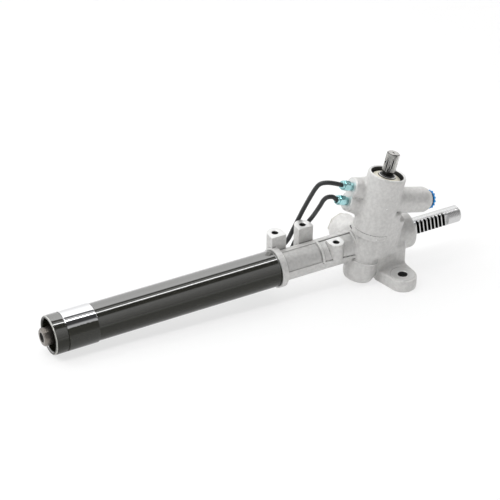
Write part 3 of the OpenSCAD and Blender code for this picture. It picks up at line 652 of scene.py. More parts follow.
# Inlet with a narrower mouth: (radius, height, rounding) from its root outwards
INLET_H = 70
INLET_LEN = 78
INLET_MOUTH_R = 12.8
INLET_SIDE = [(17, 0, 0), (17, 70, 6), (INLET_MOUTH_R, 77.5, 2)]
INLET_HOLE_R = 7
INLET_HOLE_DEEP = INLET_LEN - 20
INLET_FACE_R = 15

# Webs between the tower, the rack body and the column: distance along the rack, radius and heights
WEB_RODS = [(14, 22, -10, 54), (28, 18, -10, 40)]

# Column and feet
COLUMN_W = 44
COLUMN_MARGIN = 0.5
COLUMN_SIDE = [(30, -47.5), (30, -6), (21, 14)]
FOOT_R = 19
FOOT_T = 17
FOOT_ROOT_Y = 26
FOOT_FACE_R = FOOT_R - 3
FOOT_CHAMFER = 0.8
PAD_R = FOOT_R - 3.5
PAD_BASE = 5
PAD_H = 0.6

# Bracket bosses: radii, distance of the flat face of each from its hole, and their undersides
BOSS_R = [10.8, 11.0, 10.0]
BOSS_FLAT = [-11, -9, 10]
BOSS_BASE = [4, 4, -1]
BOSS_FACE_STEP = 6
BOSS_CHAMFER = 0.7

# Stepped bores: (radius, depth) from each end of the rack's and the tower's bore, (radius, height) in between
JOINT_BORE = [(40, 0), (24.6, 0), (24, 0.6), (24, 6), (17, 6), (17, 14), (12.6, 14)]
END_BORE = [(12.6, 24), (19.5, 24), (19.5, 1), (20.5, 0), (32, 0)]
CAP_BORE = [(24, 0), (16.7, 0), (16, 0.7)]
PINION_BORE = [(16, -17), (11.5, -17), (11.5, 16.5), (15, 16.5), (15, 30), (18.5, 30)]
MOUTH_BORE = [(18.5, 10), (21.6, 10), (21.6, 0.8), (22.4, 0), (40, 0)]
RACK_WALL_R = 24.1
MOUTH_WALL_R = 21.7
WALL_SLACK = 0.05
UNDERSIDE = 30, 90

PORT_DIRECTION = Vector((-math.cos(math.radians(PORT_TILT)), 0, math.sin(math.radians(PORT_TILT))))
PORTS = [frame_at(face, PORT_DIRECTION) for face in PORT_FACES]
PORT_MOUTHS = [port @ Matrix.Translation(Z * PORT_OUT) for port in PORTS]
INLET = frame_at(TOWER @ Vector((0, 0, INLET_H)), TOWER.to_3x3() @ X)
INLET_MOUTH = INLET @ Matrix.Translation(Z * INLET_LEN)
BOLTS = Vector(mounts["gearbox_bolts"]["pos_m"]) * PER_M
BOLT_HOLE_R = mounts["gearbox_bolts"]["dims"]["hole_r_mm"]
FOOT_Y = [BOLTS.y + s * mounts["gearbox_bolts"]["dims"]["spacing_y_mm"] / 2 for s in (-1, 1)]
COLUMN_X1 = BOLTS.x + FOOT_R + COLUMN_MARGIN
BOSS_HOLE_R = mounts["boss_1"]["dims"]["r_mm"]
BOSS_HOLE_LEN = mounts["boss_1"]["dims"]["length_mm"]
BOSS_TOPS = [Vector(mounts[f"boss_{i}"]["pos_m"]) * PER_M + Z * BOSS_HOLE_LEN / 2 for i in (1, 2, 3)]


def rounded_mesh(thing, voxel, passes):
    """Joins what overlaps in a mesh and rounds its edges and corners."""
    remesh = thing.modifiers.new("remesh", "REMESH")
    remesh.mode = "VOXEL"
    remesh.voxel_size = voxel * MM
    relax = thing.modifiers.new("relax", "SMOOTH")
    relax.factor = 0.5
    relax.iterations = passes
    return baked(thing)


def ring_points(centre, r, start, end, steps=24):
    """Points on an arc between two angles in degrees."""
    return [
        (centre[0] + r * math.cos(math.radians(a)), centre[1] + r * math.sin(math.radians(a)))
        for a in (start + (end - start) * k / steps for k in range(steps + 1))
    ]


def neck_band(name, r, x0, x1, start, end):
    """Part of a ring round the neck, between two angles that are counted from the front upwards."""
    outline = ring_points((0, 0), r, start, end) + ring_points((0, 0), BAND_FLOOR_R, end, start)
    towards = Matrix((-Y, Z, -X)).transposed().to_4x4()
    return prism(name, outline, -JOINT_X - x1, -JOINT_X - x0, towards)


def boss_outline(centre, r, flat):
    """Round at one side of the hole, with a flat face at the other."""
    x, y = centre
    start = 0 if flat < 0 else 180
    side = math.copysign(r, flat)
    return ring_points(centre, r, start, start + 180) + [(x + side, y + flat), (x - side, y + flat)]


def main_forms():
    """Neck, rack body, tower, cap, guide boss, inlet, ports, webs, column and feet."""
    body_start = PINION.x - BODY_BACK
    body_end = BODY_END_X + MACHINING
    boot_start = BODY_END_X - BOOT_LEN
    cap_dome = [(CAP_R - step, CAP_LOW + h, radius) for step, h, radius in CAP_DOME]
    inlet_end = INLET_LEN + MACHINING
    forms = [
        rod("neck", NECK_R, JOINT_X + NECK_BACK, PINION.x, RACK),
        turned("body", [
            (0, body_start, 0), (BODY_R, body_start, BODY_EDGE), (BODY_R, boot_start, 0),
            (BOOT_R, boot_start + BOOT_STEP, 0), (BOOT_R, body_end, BOOT_EDGE), (0, body_end, 0),
        ], RACK),
        rod("tower", TOWER_R, BAND_HIGH, TOWER_TOP + MACHINING, TOWER),
        rod("tower_foot", LOWER_R, CAP_HIGH - OVERLAP, BAND_HIGH + OVERLAP, TOWER),
        turned("cap", [
            (0, CAP_LOW - MACHINING, 0), *cap_dome, (CAP_R, CAP_HIGH, CAP_EDGE), (0, CAP_HIGH, 0),
        ], TOWER),
        rod("guide_boss", GUIDE_BOSS_R, 0, GUIDE_BOSS_END + MACHINING, GUIDE),
        turned("inlet", [(0, 0, 0), *INLET_SIDE, (INLET_MOUTH_R, inlet_end, 0), (0, inlet_end, 0)], INLET),
    ]
    flare = [(PORT_R + step, h, radius) for step, h, radius in PORT_FLARE]
    for port in PORTS:
        forms.append(turned("port", [(0, -PORT_LEN, 0), *flare, (0, PORT_OUT + MACHINING, 0)], port))
    for x, r, low_h, high_h in WEB_RODS:
        forms.append(rod("web", r, low_h, high_h, frame_at(PINION + X * x, TILT_AXIS)))
    side = COLUMN_SIDE + [(-y, z) for y, z in reversed(COLUMN_SIDE)]
    across = Matrix((Y, Z, X)).transposed().to_4x4()
    forms.append(prism("column", side, COLUMN_X1 - COLUMN_W, COLUMN_X1, across))
    for y in FOOT_Y:
        side = math.copysign(1, y)
        outline = ring_points((BOLTS.x, y), FOOT_R, 180, 180 + 180 * -side)
        outline += [(COLUMN_X1, side * FOOT_ROOT_Y), (COLUMN_X1 - COLUMN_W - OVERLAP, side * FOOT_ROOT_Y)]
        forms.append(prism("foot", outline, FOOT_Z - MACHINING, FOOT_Z + FOOT_T))
    return forms


def small_forms():
    """Collar, edges of the tower and its cap, ribs and rail of the neck, bracket bosses and foot pads."""
    (first_rib, _), (last_rib, _) = RIBS
    from_joint = Matrix.Translation(X * JOINT_X) @ Matrix((X, Z, -Y)).transposed().to_4x4()
    forms = [
        rod("collar", COLLAR_R, JOINT_X - MACHINING, JOINT_X + COLLAR_LEN, RACK),
        rod("band", BAND_R, BAND_LOW, BAND_HIGH + OVERLAP, TOWER),
        rod("tower_edge", TOWER_R, BAND_HIGH, BAND_HIGH + TOWER_EDGE_LEN, TOWER),
        rod("cap_edge", CAP_R, CAP_HIGH - CAP_EDGE_LEN, CAP_HIGH, TOWER),
        block("top_rib", (JOINT_X + first_rib + OVERLAP, -TOP_RIB_HALF, TOP_RIB_LOW),
              (JOINT_X + last_rib + OVERLAP, TOP_RIB_HALF, RIB_R)),
        prism("rail", RAIL, *RAIL_HEIGHTS, from_joint),
    ]
    for x, width in RIBS:
        forms.append(neck_band("rib", RIB_R, x, x + width, *RIB_TURNS))
    for top, r, flat, base in zip(BOSS_TOPS, BOSS_R, BOSS_FLAT, BOSS_BASE):
        forms.append(prism("boss", boss_outline(top[:2], r, flat), base, top.z + MACHINING))
    for y in FOOT_Y:
        place = frame_at((BOLTS.x, y, 0), Z)
        forms.append(rod("pad", PAD_R, FOOT_Z + PAD_BASE, FOOT_Z + FOOT_T + OVERLAP, place))
    return forms


def with_finish(thing, slot):
    """Gives a solid the casting's finishes, and all of its faces one of them."""
    thing.data.materials.clear()
    for finish in CASTING_FINISHES:
        thing.data.materials.append(finish)
    thing.data.polygons.foreach_set("material_index", [slot] * len(thing.data.polygons))
    return thing


def with_walls(tool, matrix, r):
    """Gives the faces of a tool that are nearer to its axis than r the finish of a bore, which is painted shade.
    """
    back = matrix.inverted()
    for face in tool.data.polygons:
        if (back @ (face.center * PER_M)).xy.length < r:
            face.material_index = BORE_SLOT
    return tool


def bored(name, r, depth, face_r, matrix, chamfer=0.6):
    """Tool that bores a hole from a face at z = 0, chamfers its rim and turns the face flat."""
    tool = with_finish(turned(name, [
        (0, -depth, 0), (r, -depth, 0), (r, -chamfer, 0), (r + chamfer, 0, 0),
        (face_r, 0, 0), (face_r, AWAY, 0), (0, AWAY, 0),
    ], matrix), FACE_SLOT)
    return with_walls(tool, matrix, r + WALL_SLACK)


def stepped_bore(name, low_end, low_bores, bores, high_bores, high_end, matrix, wall_r):
    """Tool for a stepped bore from end to end, with flat faces round both its mouths."""
    steps = [(r, low_end + depth) for r, depth in low_bores] + bores
    steps += [(r, high_end - depth) for r, depth in high_bores]
    outline = [(0, low_end - AWAY), (steps[0][0], low_end - AWAY), *steps]
    outline += [(steps[-1][0], high_end + AWAY), (0, high_end + AWAY)]
    tool = with_finish(turned(name, [(r, z, 0) for r, z in outline], matrix), FACE_SLOT)
    return with_walls(tool, matrix, wall_r)


def machine_cuts():
    """Solids that the machine tools take away: bores, spot faces, flat ends and seams."""
    half_x, half_y = UNDERSIDE
    lowest = (BOLTS.x - half_x, -half_y, FOOT_Z - AWAY)
    underside = block("underside", lowest, (BOLTS.x + half_x, half_y, FOOT_Z))
    cuts = [
        stepped_bore("rack_cut", JOINT_X, JOINT_BORE, [], END_BORE, BODY_END_X, RACK, RACK_WALL_R),
        stepped_bore("tower_cut", CAP_LOW, CAP_BORE, PINION_BORE, MOUTH_BORE, TOWER_TOP, TOWER, MOUTH_WALL_R),
        with_finish(underside, FACE_SLOT),
    ]
    start, end = SEAM_TURNS
    for h, r in SEAMS:
        outline = ring_points((0, 0), TOWER_R + SEAM_REACH, start, end, SEAM_STEPS)
        outline += ring_points((0, 0), r, end, start, SEAM_STEPS)
        # Seams take the bores' finish: painted shade in the grooves
        cuts.append(with_finish(prism("seam", outline, h - SEAM_HALF, h + SEAM_HALF, TOWER), BORE_SLOT))
    guide_face = frame_at((PINION.x, GUIDE_BOSS_END, 0), Y, up=Z)
    cuts += [
        bored("guide_cut", GUIDE_HOLE_R, GUIDE_HOLE_DEEP, GUIDE_FACE_R, guide_face),
        bored("inlet_cut", INLET_HOLE_R, INLET_HOLE_DEEP, INLET_FACE_R, INLET_MOUTH),
    ]
    for mouth in PORT_MOUTHS:
        cuts.append(bored("port_cut", PORT_HOLE_R, PORT_LEN, PORT_FACE_R, mouth))
    for top, r in zip(BOSS_TOPS, BOSS_R):
        face = frame_at(top, Z)
        cuts.append(bored("boss_cut", BOSS_HOLE_R, BOSS_HOLE_LEN, r + BOSS_FACE_STEP, face, BOSS_CHAMFER))
    for y in FOOT_Y:
        face = frame_at((BOLTS.x, y, FOOT_Z + FOOT_T + PAD_H), Z)
        cuts.append(bored("foot_cut", BOLT_HOLE_R, FOOT_T + PAD_H + OVERLAP, FOOT_FACE_R, face, FOOT_CHAMFER))
    return cuts


def label_panel():
    """Bare raised panel on the front of the neck, with a thin frame."""
    x0, x1 = PANEL_X
    low_turn, high_turn = PANEL_TURNS
    rim_r = NECK_R + FRAME_HEIGHT
    plate = neck_band("panel", NECK_R + PANEL_HEIGHT, x0, x1, low_turn, high_turn)
    rims = [neck_band("rim", rim_r, x0, x1, a, a + FRAME_TURN) for a in (low_turn, high_turn - FRAME_TURN)]
    rims += [neck_band("rim", rim_r, x, x + FRAME_WIDTH, low_turn, high_turn) for x in (x0, x1 - FRAME_WIDTH)]
    return combine(with_finish(plate, PANEL_SLOT), [with_finish(rim, RIM_SLOT) for rim in rims], "UNION")


def make_casting():
    rough = main_forms()
    casting = combine(rough[0], rough[1:], "UNION")
    rounded_mesh(casting, *COARSE)
    combine(casting, small_forms(), "UNION")
    rounded_mesh(casting, *FINE)
    combine(with_finish(casting, SKIN_SLOT), [label_panel()], "UNION")
    cuts = machine_cuts()
    combine(casting, [combine(cuts[0], cuts[1:], "UNION")], "DIFFERENCE")
    casting.name = "housing_casting"
    smooth(casting, angle=30)
    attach(casting, "gearbox")
    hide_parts("gear_housing")


# Turned, milled and formed parts that stand for their plainer CAD nodes

PIPE_R = 2.95
PIPE_Y = 32.5
PIPE_TURN = [0, -25]
NUT_AF = 12.2
NUT_FACE = 4
NUT_LEN = 9.5
NUT_OUT = NUT_FACE + NUT_LEN + 3
NUT_COLLAR_R = 5.4
SHANK_R = 5
SHANK_LEN = 7
ADAPTER_X = [28, 236]
ADAPTER_TURN = [-4.5, -25]
ADAPTER_Y = [31, 32.5]
ADAPTER_LEN = 16
ADAPTER_W = 7
ADAPTER_DEEP = 14
ADAPTER_TOOL = 4

# Routes of the pipes, from the tower down behind the neck and along the tube's back, counted from the joint
ROUTES = {
    "pipe_long": [
        (89.4, 1.7, 100.5), (80.2, 5.2, 102.4), (72.9, 9.4, 100.5), (68.6, 12.7, 94.3), (65.8, 19.8, 79.7),
        (61.3, 29.8, 55.7), (57.1, 34.7, 39.3), (50.8, 37.4, 23), (45, 38, 11), (37, 37, 4), (27, 34.5, 1),
        (16, 32.8, 0),
    ],
    "pipe_short": [
        (87, 1, 81.5), (80, 3, 82), (76, 6, 77), (73.5, 10, 67), (71, 22, 46), (66, 30, 30.5), (60.5, 36, 15),
        (54.5, 38.3, 2.5), (48.5, 37, -7), (40, 33.5, -12.5), (28, 30.4, -13.7), (16, 29.6, -13.8),
    ],
}


def spline(points, steps):
    """Smooth curve through points."""
    out = []
    for i in range(len(points) - 1):
        a, b, c, d = points[max(i - 1, 0)], points[i], points[i + 1], points[min(i + 2, len(points) - 1)]
        for t in shares(steps)[:-1]:
            out.append(0.5 * (2 * b + (c - a) * t + (2 * a - 5 * b + 4 * c - d) * t * t
                              + (3 * b - a - 3 * c + d) * t ** 3))
    return out + [points[-1]]


def swept(name, points, r):
    """Round bar along a line of points."""
    bm = bmesh.new()
    rings = []
    last = Vector((0.3, -0.9, 0.25))
    for i, point in enumerate(points):
        along = (points[min(i + 1, len(points) - 1)] - points[max(i - 1, 0)]).normalized()
        last = (last - along * last.dot(along)).normalized()
        side = along.cross(last)
        around = [math.cos(a) * last + math.sin(a) * side for a in turns(BAR_SIDES)]
        rings.append([bm.verts.new(point + r * towards) for towards in around])
    for one, two in zip(rings, rings[1:]):
        for k in range(BAR_SIDES):
            bm.faces.new([one[k - 1], one[k], two[k], two[k - 1]])
    bm.faces.new(rings[0])
    bm.faces.new(rings[-1])
    return new_object(name, bm)


def hexagon(name, across, z0, z1, matrix):
    """Nut blank with chamfered ends."""
    corner = across / 2 / math.cos(math.pi / 6)
    blank = prism(name, ring_points((0, 0), corner, 0, 300, 5), z0, z1, matrix)
    low_r, high_r, chamfer = across / 2 - 0.1, corner + 0.1, 0.9
    turn = turned("chamfers", [
        (0, z0, 0), (low_r, z0, 0), (high_r, z0 + chamfer, 0), (high_r, z1 - chamfer, 0), (low_r, z1, 0),
        (0, z1, 0),
    ], matrix)
    return combine(blank, [turn], "INTERSECT")


def flare_nut(name, matrix, shank):
    """Hexagon nut with a collar round the pipe and a shank of a length in its port."""
    nut_end = NUT_FACE + NUT_LEN
    nut = hexagon(name, NUT_AF, NUT_FACE, nut_end, matrix)
    collar = turned("collar", [
        (0, -shank, 0), (SHANK_R, -shank, 0.5), (SHANK_R, NUT_FACE + 1, 0), (NUT_COLLAR_R, nut_end - 1, 0),
        (NUT_COLLAR_R, NUT_OUT, 0.8), (0, NUT_OUT, 0),
    ], matrix)
    bore = rod("bore", PIPE_R + 0.05, -shank - 1, NUT_OUT + 1, matrix)
    combine(nut, [collar], "UNION")
    combine(nut, [bore], "DIFFERENCE")
    return smooth(nut, angle=30)


def adapter_frame(i):
    """Frame of an adapter, turned round the tube."""
    return Matrix.Rotation(math.radians(ADAPTER_TURN[i]), 4, "X")


def adapter_axis(i):
    """Frame of an adapter's port: its face, with Z out along the tube."""
    return adapter_frame(i) @ frame_at((ADAPTER_X[i] + ADAPTER_LEN, ADAPTER_Y[i], 0), X)


def make_tube():
    """Cylinder tube with a chamfered rim, a collar and a groove before the clamp's band, and that band."""
    tube_end = high("cylinder_tube").x
    groove_x = SEAT_X0 - 1.6
    rim = 1.1
    tube = turned("cylinder_tube_turned", [
        (TUBE_HOLE_R + 1, OPEN_END_X, 0.2), (SEAT_R - rim, OPEN_END_X, 0.3), (SEAT_R, OPEN_END_X + rim, 0.3),
        (SEAT_R, groove_x, 0.2), (TUBE_R, groove_x, 0.2), (TUBE_R, tube_end, 0.4),
        (TUBE_HOLE_R, tube_end, 0.4), (TUBE_HOLE_R, OPEN_END_X + 1.5, 0.2),
    ], RACK, FINE_SIDES)
    dress(smooth(tube, angle=25), FINISHES["tube_paint"], "gearbox", "tube_paint", "cylinder_tube")
    inside = TUBE_R - 0.05
    band = turned("clamp_band", [
        (inside, SEAT_X0, 0), (SEAT_R, SEAT_X0, 0.4), (SEAT_R, SEAT_X1, 0.5), (inside, SEAT_X1, 0),
    ], RACK, FINE_SIDES)
    dress(smooth(band, angle=25), CLAMP_BAND, "gearbox", "bright_steel", "clamp_seat")


def make_pipes():
    """Pipes from the valve's ports to the adapters, and the flare nuts at both their ends."""
    coating, plating = FINISHES["pipe_coating"], FINISHES["teal_plating"]
    out = PORT_DIRECTION
    for i, (name, route) in enumerate(ROUTES.items()):
        face = PORT_FACES[i] + out * PORT_OUT
        end = adapter_axis(i).translation
        middle = [Vector(p) + X * JOINT_X for p in route]
        joint = Matrix.Rotation(math.radians(PIPE_TURN[i]), 4, "X") @ Vector((JOINT_X, PIPE_Y, 0))
        curve = spline([face + out * NUT_OUT] + middle + [joint], steps=6)
        line = [face - out * (PORT_OUT + 6), face + out * NUT_OUT / 2] + curve + [end - X * 6]
        dress(smooth(swept(name + "_tube", line, PIPE_R)), coating, "gearbox", "pipe_coating", name)
    sets = [("valve", PORT_MOUTHS, PORT_OUT), ("tube", [adapter_axis(i) for i in (0, 1)], 0)]
    for where, mouths, extra in sets:
        for i, mouth in enumerate(mouths):
            nut = flare_nut(f"{where}_nut_{i + 1}", mouth, SHANK_LEN + extra)
            dress(nut, plating, "gearbox", "teal_plating", f"{where}_flare_nuts")


def make_adapters():
    """Saddle blocks on the back of the tube, with rounded edges, cut to fit the tube."""
    for i, x in enumerate(ADAPTER_X):
        turn, y, end = adapter_frame(i), ADAPTER_Y[i], x + ADAPTER_LEN
        body = block("adapter", (x, y - ADAPTER_DEEP, -ADAPTER_W), (end, y, ADAPTER_W), turn)
        nose = rod("nose", ADAPTER_W, x, end, turn @ frame_at((0, y, 0), X))
        combine(body, [nose], "UNION")
        rounded_mesh(body, voxel=0.6, passes=5)
        tools = [
            rod("tube_seat", TUBE_R, x - ADAPTER_TOOL, end + ADAPTER_TOOL, RACK),
            rod("port", SHANK_R, -SHANK_LEN - NUT_FACE, 2, adapter_axis(i)),
            block("face", (end, 0, -TUBE_R), (end + ADAPTER_TOOL, 2 * TUBE_R, TUBE_R), turn),
        ]
        combine(body, tools, "DIFFERENCE")
        body.name = f"port_adapter_{i + 1}"
        dress(smooth(body), FINISHES["tube_paint"], "gearbox", "tube_paint", "port_adapters")


# Inlet plug: scallops of its grip, and outlines of (radius, height over the inlet's face, rounding)
PLUG_R = 11.5
PLUG_LOBES = 14
PLUG_WAVE = 0.9
PLUG_GRIP = 2, 4.9
PLUG_HOLLOW = [(0, 3.2, 0), (8.4, 3.2, 0.4), (9, 5.9, 0), (0, 5.9, 0)]
PLUG_LUG = [(0, 3, 0), (3.2, 3, 0), (3, 4.9, 0.6), (0, 4.9, 0)]
PLUG_LUG_AT = 3.6
PLUG_STEM = [(0, -9, 0), (6.9, -9, 0.8), (7, 0, 0), (PLUG_R, 0, 0.2), (PLUG_R, 2, 0.2), (0, 2, 0)]


def make_inlet_plug():
    """Plastic plug: a flange and stem in a darker copy of its blue, painted shade, and a bright scalloped grip
    with a hollow face.
    """
    outline = []
    for a in turns(PLUG_LOBES * 8):
        r = PLUG_R + PLUG_WAVE * math.cos(PLUG_LOBES * a)
        outline.append((r * math.cos(a), r * math.sin(a)))
    cap = prism("cap", outline, *PLUG_GRIP, INLET_MOUTH)
    combine(cap, [turned("hollow", PLUG_HOLLOW, INLET_MOUTH)], "DIFFERENCE")
    places = [INLET_MOUTH @ Matrix.Translation(X * side * PLUG_LUG_AT) for side in (-1, 1)]
    combine(cap, [turned("lug", PLUG_LUG, place, 48) for place in places], "UNION")
    cap.name = "inlet_cap"
    dress(smooth(cap), FINISHES["blue_plastic"], "gearbox", "blue_plastic", "inlet_plug")
    # Flange and stem in the darker blue: painted shade
    dress(smooth(turned("inlet_stem", PLUG_STEM, INLET_MOUTH)), BLUE_PAINTED_SHADE, "gearbox", "blue_plastic")


# Input shaft: torsion bar, the room round it, the journal in the seals and the parts below, and the pin
BAR_R = 3.5
BAR_ROOM_R = 4.2
JOURNAL_R = 9.5
CORE_STEPS = [(9, 33.3, 0.3), (9, 42.3, 0), (11, 42.3, 0), (11, 78, 0), (JOURNAL_R, 78, 0)]
PIN_DOWN = 13
PIN_HOLE_R = 1.6


def make_input_shaft():
    """Shaft end with rounded serrations, a chamfered tip and the cross hole of its pin."""
    outline = []
    for a in turns(SPLINE_TEETH * 6):
        wave = math.cos(SPLINE_TEETH * a)
        r = SPLINE_R - SPLINE_DEEP / 2 + SPLINE_DEEP / 2 * math.copysign(abs(wave) ** 0.6, wave)
        outline.append((r * math.cos(a), r * math.sin(a)))
    teeth_low = TOWER_TOP + 3
    teeth = prism("teeth", outline, teeth_low, SHAFT_TOP, TOWER)
    wide_r = SPLINE_R + 0.2
    tip = turned("tip", [
        (0, 0, 0), (SPLINE_R - 1.2, teeth_low, 0), (wide_r, TOWER_TOP + 5.5, 0), (wide_r, SHAFT_TOP - 1.5, 0),
        (SPLINE_R - 1.4, SHAFT_TOP, 0), (0, SHAFT_TOP, 0),
    ], TOWER)
    combine(teeth, [tip], "INTERSECT")
    low_r = SPLINE_R - SPLINE_DEEP - 0.1
    core = turned("core", [
        (BAR_ROOM_R, CORE_STEPS[0][1], 0), *CORE_STEPS, (JOURNAL_R, TOWER_TOP - 6.2, 0.5),
        (low_r, TOWER_TOP - 6, 0), (low_r, TOWER_TOP + 6, 0), (BAR_ROOM_R, TOWER_TOP + 6, 0),
    ], TOWER)
    combine(teeth, [core], "UNION")
    across = frame_at(TOWER @ Vector((0, 0, SHAFT_TOP - PIN_DOWN)), TOWER.to_3x3() @ X)
    cuts = [
        turned("bore", [
            (0, 30, 0), (BAR_ROOM_R, 30, 0), (BAR_ROOM_R, SHAFT_TOP - 22, 0), (BAR_R, SHAFT_TOP - 22, 0),
            (BAR_R, SHAFT_TOP - 8, 0), (0, SHAFT_TOP - 7, 0),
        ], TOWER),
        turned("pin_hole", [(0, -12, 0), (PIN_HOLE_R, -12, 0), (PIN_HOLE_R, 12, 0), (0, 12, 0)], across, 40),
        turned("centre", [(0, SHAFT_TOP - 3, 0), (2.2, SHAFT_TOP + 0.5, 0), (0, SHAFT_TOP + 0.5, 0)], TOWER),
    ]
    combine(teeth, cuts, "DIFFERENCE")
    teeth.name = "serrated_shaft"
    dress(smooth(teeth), SHAFT_METAL, "input", "shaft_steel", "input_shaft")


# Outlines in the tower's mouth as (radius, height over its floor, rounding): cover, seal lip and washer
MOUTH_DEEP = 10
COVER = [
    (17.3, 0, 0), (21.5, 0, 0), (21.5, 1.2, 0.4), (18.5, 1.2, 0.5), (18, 5.2, 1.6), (12.8, 7.3, 0.8),
    (11.7, 6.7, 0.4), (11.7, 6.1, 0), (12.5, 6.2, 0.3), (17.1, 4.4, 0.8),
]
LIP = [
    (9.55, -9, 0), (18.4, -9, 0), (18.4, -0.1, 0), (11.4, -0.1, 0), (11.4, 7.6, 0.3), (10.2, 8, 0.3),
    (8, 9.6, 0.4), (7.65, 9.4, 0), (7.65, 4.6, 0), (9.55, 4.3, 0),
]
WASHER = [(10.1, 7.5, 0), (11.2, 7.5, 0), (11.2, 8.1, 0.2), (10.1, 8.3, 0.2)]

# Snap ring: ends in degrees, inner and outer radius, lower and upper face; place and radii of its eyes
RING_TURNS = 48, 382
RING_R = 19.2, 22.3
RING_HEIGHTS = 1.25, 2.75
EYE_TURN = 5
EYE_AT = 20.1
EYE_R = 0.6, 1.7


def make_tower_top():
    """Pressed cover, snap ring with eyelets and seal lip in the recess round the shaft."""
    floor = TOWER_TOP - MOUTH_DEEP
    for name, outline, slot, node_names in (
        ("cover_cup", COVER, "cover_enamel", ["dust_cover"]),
        ("shaft_lip", LIP, "seal_rubber", ["shaft_seal"]),
        ("lip_washer", WASHER, "machined_alloy", []),
    ):
        piece = turned(name, [(r, floor + h, radius) for r, h, radius in outline], TOWER)
        dress(smooth(piece), FINISHES[slot], "gearbox", slot, *node_names)
    start, end = RING_TURNS
    r_in, r_out = RING_R
    low_h, high_h = (floor + h for h in RING_HEIGHTS)
    outline = ring_points((0, 0), r_out, start, end, 120) + ring_points((0, 0), r_in, end, start, 120)
    ring = prism("ring", outline, low_h, high_h, TOWER)
    hole_r, eye_r = EYE_R
    eyes = []
    for a in (start + EYE_TURN, end - EYE_TURN):
        place = TOWER @ Matrix.Rotation(math.radians(a), 4, "Z") @ Matrix.Translation(X * EYE_AT)
        corners = [(hole_r, low_h, 0), (eye_r, low_h, 0), (eye_r, high_h, 0), (hole_r, high_h, 0)]
        eyes.append(turned("eye", corners, place, 32))
    combine(ring, eyes, "UNION")
    ring.name = "snap_ring"
    dress(smooth(ring), FINISHES["spring_steel"], "gearbox", "spring_steel", "tower_snap_ring")


THREAD_PITCH = 1.5
THREAD_DEEP = 0.75


def make_threads():
    """Threaded sleeves in the ends of the rack: ridges on the wall of the tapping hole."""
    for name in ("rack_end_left", "rack_end_right"):
        mount = mounts[name]
        r, length = mount["dims"]["r_mm"], mount["dims"]["length_mm"]
        place = frame_at(Vector(mount["pos_m"]) * PER_M, Vector(mount["axis"]))
        wall_r, crest_r = r + 0.01, r - 0.05
        top = length / 2 - 1
        count = int(length // THREAD_PITCH) - 1
        corners = [(wall_r, top, 0)]
        for k in range(count):
            ridge = top - (k + 0.5) * THREAD_PITCH
            corners += [(crest_r, top - k * THREAD_PITCH, 0), (r - THREAD_DEEP, ridge, 0.1)]
        end = top - count * THREAD_PITCH
        corners += [(crest_r, end, 0), (wall_r, end, 0)]
        thread = turned(name + "_thread", corners, place, 72)
        # The threads take near-black metal: painted shade
        dress(smooth(thread, angle=25), THREAD_PAINTED_SHADE, "rack", "rack_steel")


# Camera at the photograph's place, from the rack's frame: millimetres and unit vectors
CAMERA_AT = Vector((-676.2, -1616.3, 1236.5))
CAMERA_RIGHT = Vector((0.8732, -0.4872, 0.0111))
CAMERA_BACK = Vector((-0.4148, -0.7310, 0.5419))
LENS = 126
SENSOR = 36


def make_camera():
    back = CAMERA_BACK.normalized()
    up = back.cross(CAMERA_RIGHT).normalized()
    right = up.cross(back)
    m = Matrix((right, up, back)).transposed().to_4x4()
    m.translation = CAMERA_AT * MM
    camera = bpy.data.objects.new("camera", bpy.data.cameras.new("camera"))
    camera.data.lens = LENS
    camera.data.sensor_width = SENSOR
    camera.data.clip_end = 50
    camera.matrix_world = m
    bpy.context.scene.collection.objects.link(camera)
    bpy.context.scene.camera = camera


# Studio: the world is a set of long soft boxes over the rack, the floor is white

# Light round the rack as (degrees, level), counted from straight up towards the camera's side
SKY = [
    (-180, 0.5), (-120, 0.6), (-70, 1.1), (-24, 1.7), (-20, 0.1), (-12, 0.1), (-10, 0.6), (2.5, 0.6), (3, 11),
    (5, 11), (5.5, 0.6), (8, 0.6), (10, 0.05), (30, 0.05), (38, 0.45), (70, 0.45), (90, 0.6), (180, 0.5),
]


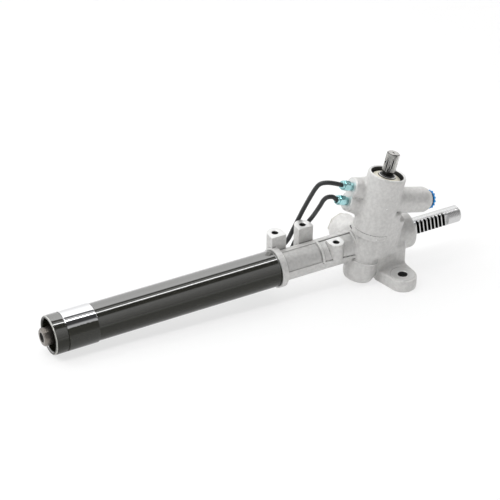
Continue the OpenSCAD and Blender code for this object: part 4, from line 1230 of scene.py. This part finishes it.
def make_world():
    world = bpy.data.worlds.new("studio")
    bpy.context.scene.world = world
    world.use_nodes = True
    tree = world.node_tree
    where = node(tree, "ShaderNodeTexCoord").outputs["Generated"]
    split = node(tree, "ShaderNodeSeparateXYZ", {0: where}).outputs
    flip = node(tree, "ShaderNodeMath", {0: split["Y"], 1: -1}, operation="MULTIPLY").outputs[0]
    angle = node(tree, "ShaderNodeMath", {0: flip, 1: split["Z"]}, operation="ARCTAN2").outputs[0]
    limits = {"From Min": -math.pi, "From Max": math.pi}
    share = node(tree, "ShaderNodeMapRange", {"Value": angle, **limits}).outputs[0]
    bands = node(tree, "ShaderNodeValToRGB", {"Fac": share})
    stops = bands.color_ramp.elements
    while len(stops) > 1:
        stops.remove(stops[0])
    for i, (degrees, level) in enumerate(SKY):
        at = (degrees + 180) / 360
        stop = stops[0] if i == 0 else stops.new(at)
        stop.position = at
        stop.color = (level, level, level, 1)
    seen = node(tree, "ShaderNodeLightPath").outputs["Is Camera Ray"]
    white = blend(tree, seen, bands.outputs["Color"], (1, 1, 1))
    tree.links.new(white, tree.nodes["Background"].inputs["Color"])


LAMP_AT = Vector((-0.6, 0.2, 1.6))
LAMP_TARGET = Vector((0.25, 0, 0))
LAMP_SIZE = 1.2
LAMP_POWER = 14


def make_lamp():
    lamp = bpy.data.lights.new("top_left", "AREA")
    lamp.size = LAMP_SIZE
    lamp.energy = LAMP_POWER
    made = bpy.data.objects.new("top_left", lamp)
    made.matrix_world = frame_at(LAMP_AT, LAMP_AT - LAMP_TARGET, up=X)
    bpy.context.scene.collection.objects.link(made)


# Slope of the surface that the part lies on: it touches the tube's open end and the feet
REST_LEFT = Vector((OPEN_END_X, 0, low("clamp_seat").z))
REST_RIGHT = Vector((BOLTS.x, 0, FOOT_Z))
FLOOR_HALF = 6000
FLOOR_DEEP = 20
FLOOR_GAP = 0.2
FLOOR_GLOW = 0.7


def make_floor():
    """White paper, which looks brighter than the lamp makes it."""
    slope = (REST_RIGHT - REST_LEFT).normalized()
    place = frame_at(REST_RIGHT - Z * FLOOR_GAP, slope.cross(Y), up=Y)
    floor = block("floor", (-FLOOR_HALF, -FLOOR_HALF, -FLOOR_DEEP), (FLOOR_HALF, FLOOR_HALF, 0), place)
    f = Finish("floor_paper", (0.97, 0.97, 0.97), 0.6)
    glow = f.add("ShaderNodeEmission", {"Color": (1, 1, 1, 1), "Strength": 1.0}).outputs[0]
    path = f.add("ShaderNodeLightPath").outputs
    seen = f.math("MAXIMUM", path["Is Camera Ray"], path["Is Glossy Ray"])
    seen = f.math("MAXIMUM", seen, path["Is Transmission Ray"])
    share = f.math("MULTIPLY", seen, FLOOR_GLOW)
    both = f.add("ShaderNodeMixShader", {0: share, 1: f.shader.outputs[0], 2: glow}).outputs[0]
    f.tree.links.new(both, f.tree.nodes["Material Output"].inputs[0])
    floor.data.materials.append(f.material)


make_casting()
make_tube()
make_pipes()
make_adapters()
make_inlet_plug()
make_input_shaft()
make_tower_top()
make_threads()
make_camera()
make_world()
make_floor()
make_lamp()
bpy.context.scene.view_settings.view_transform = "Standard"
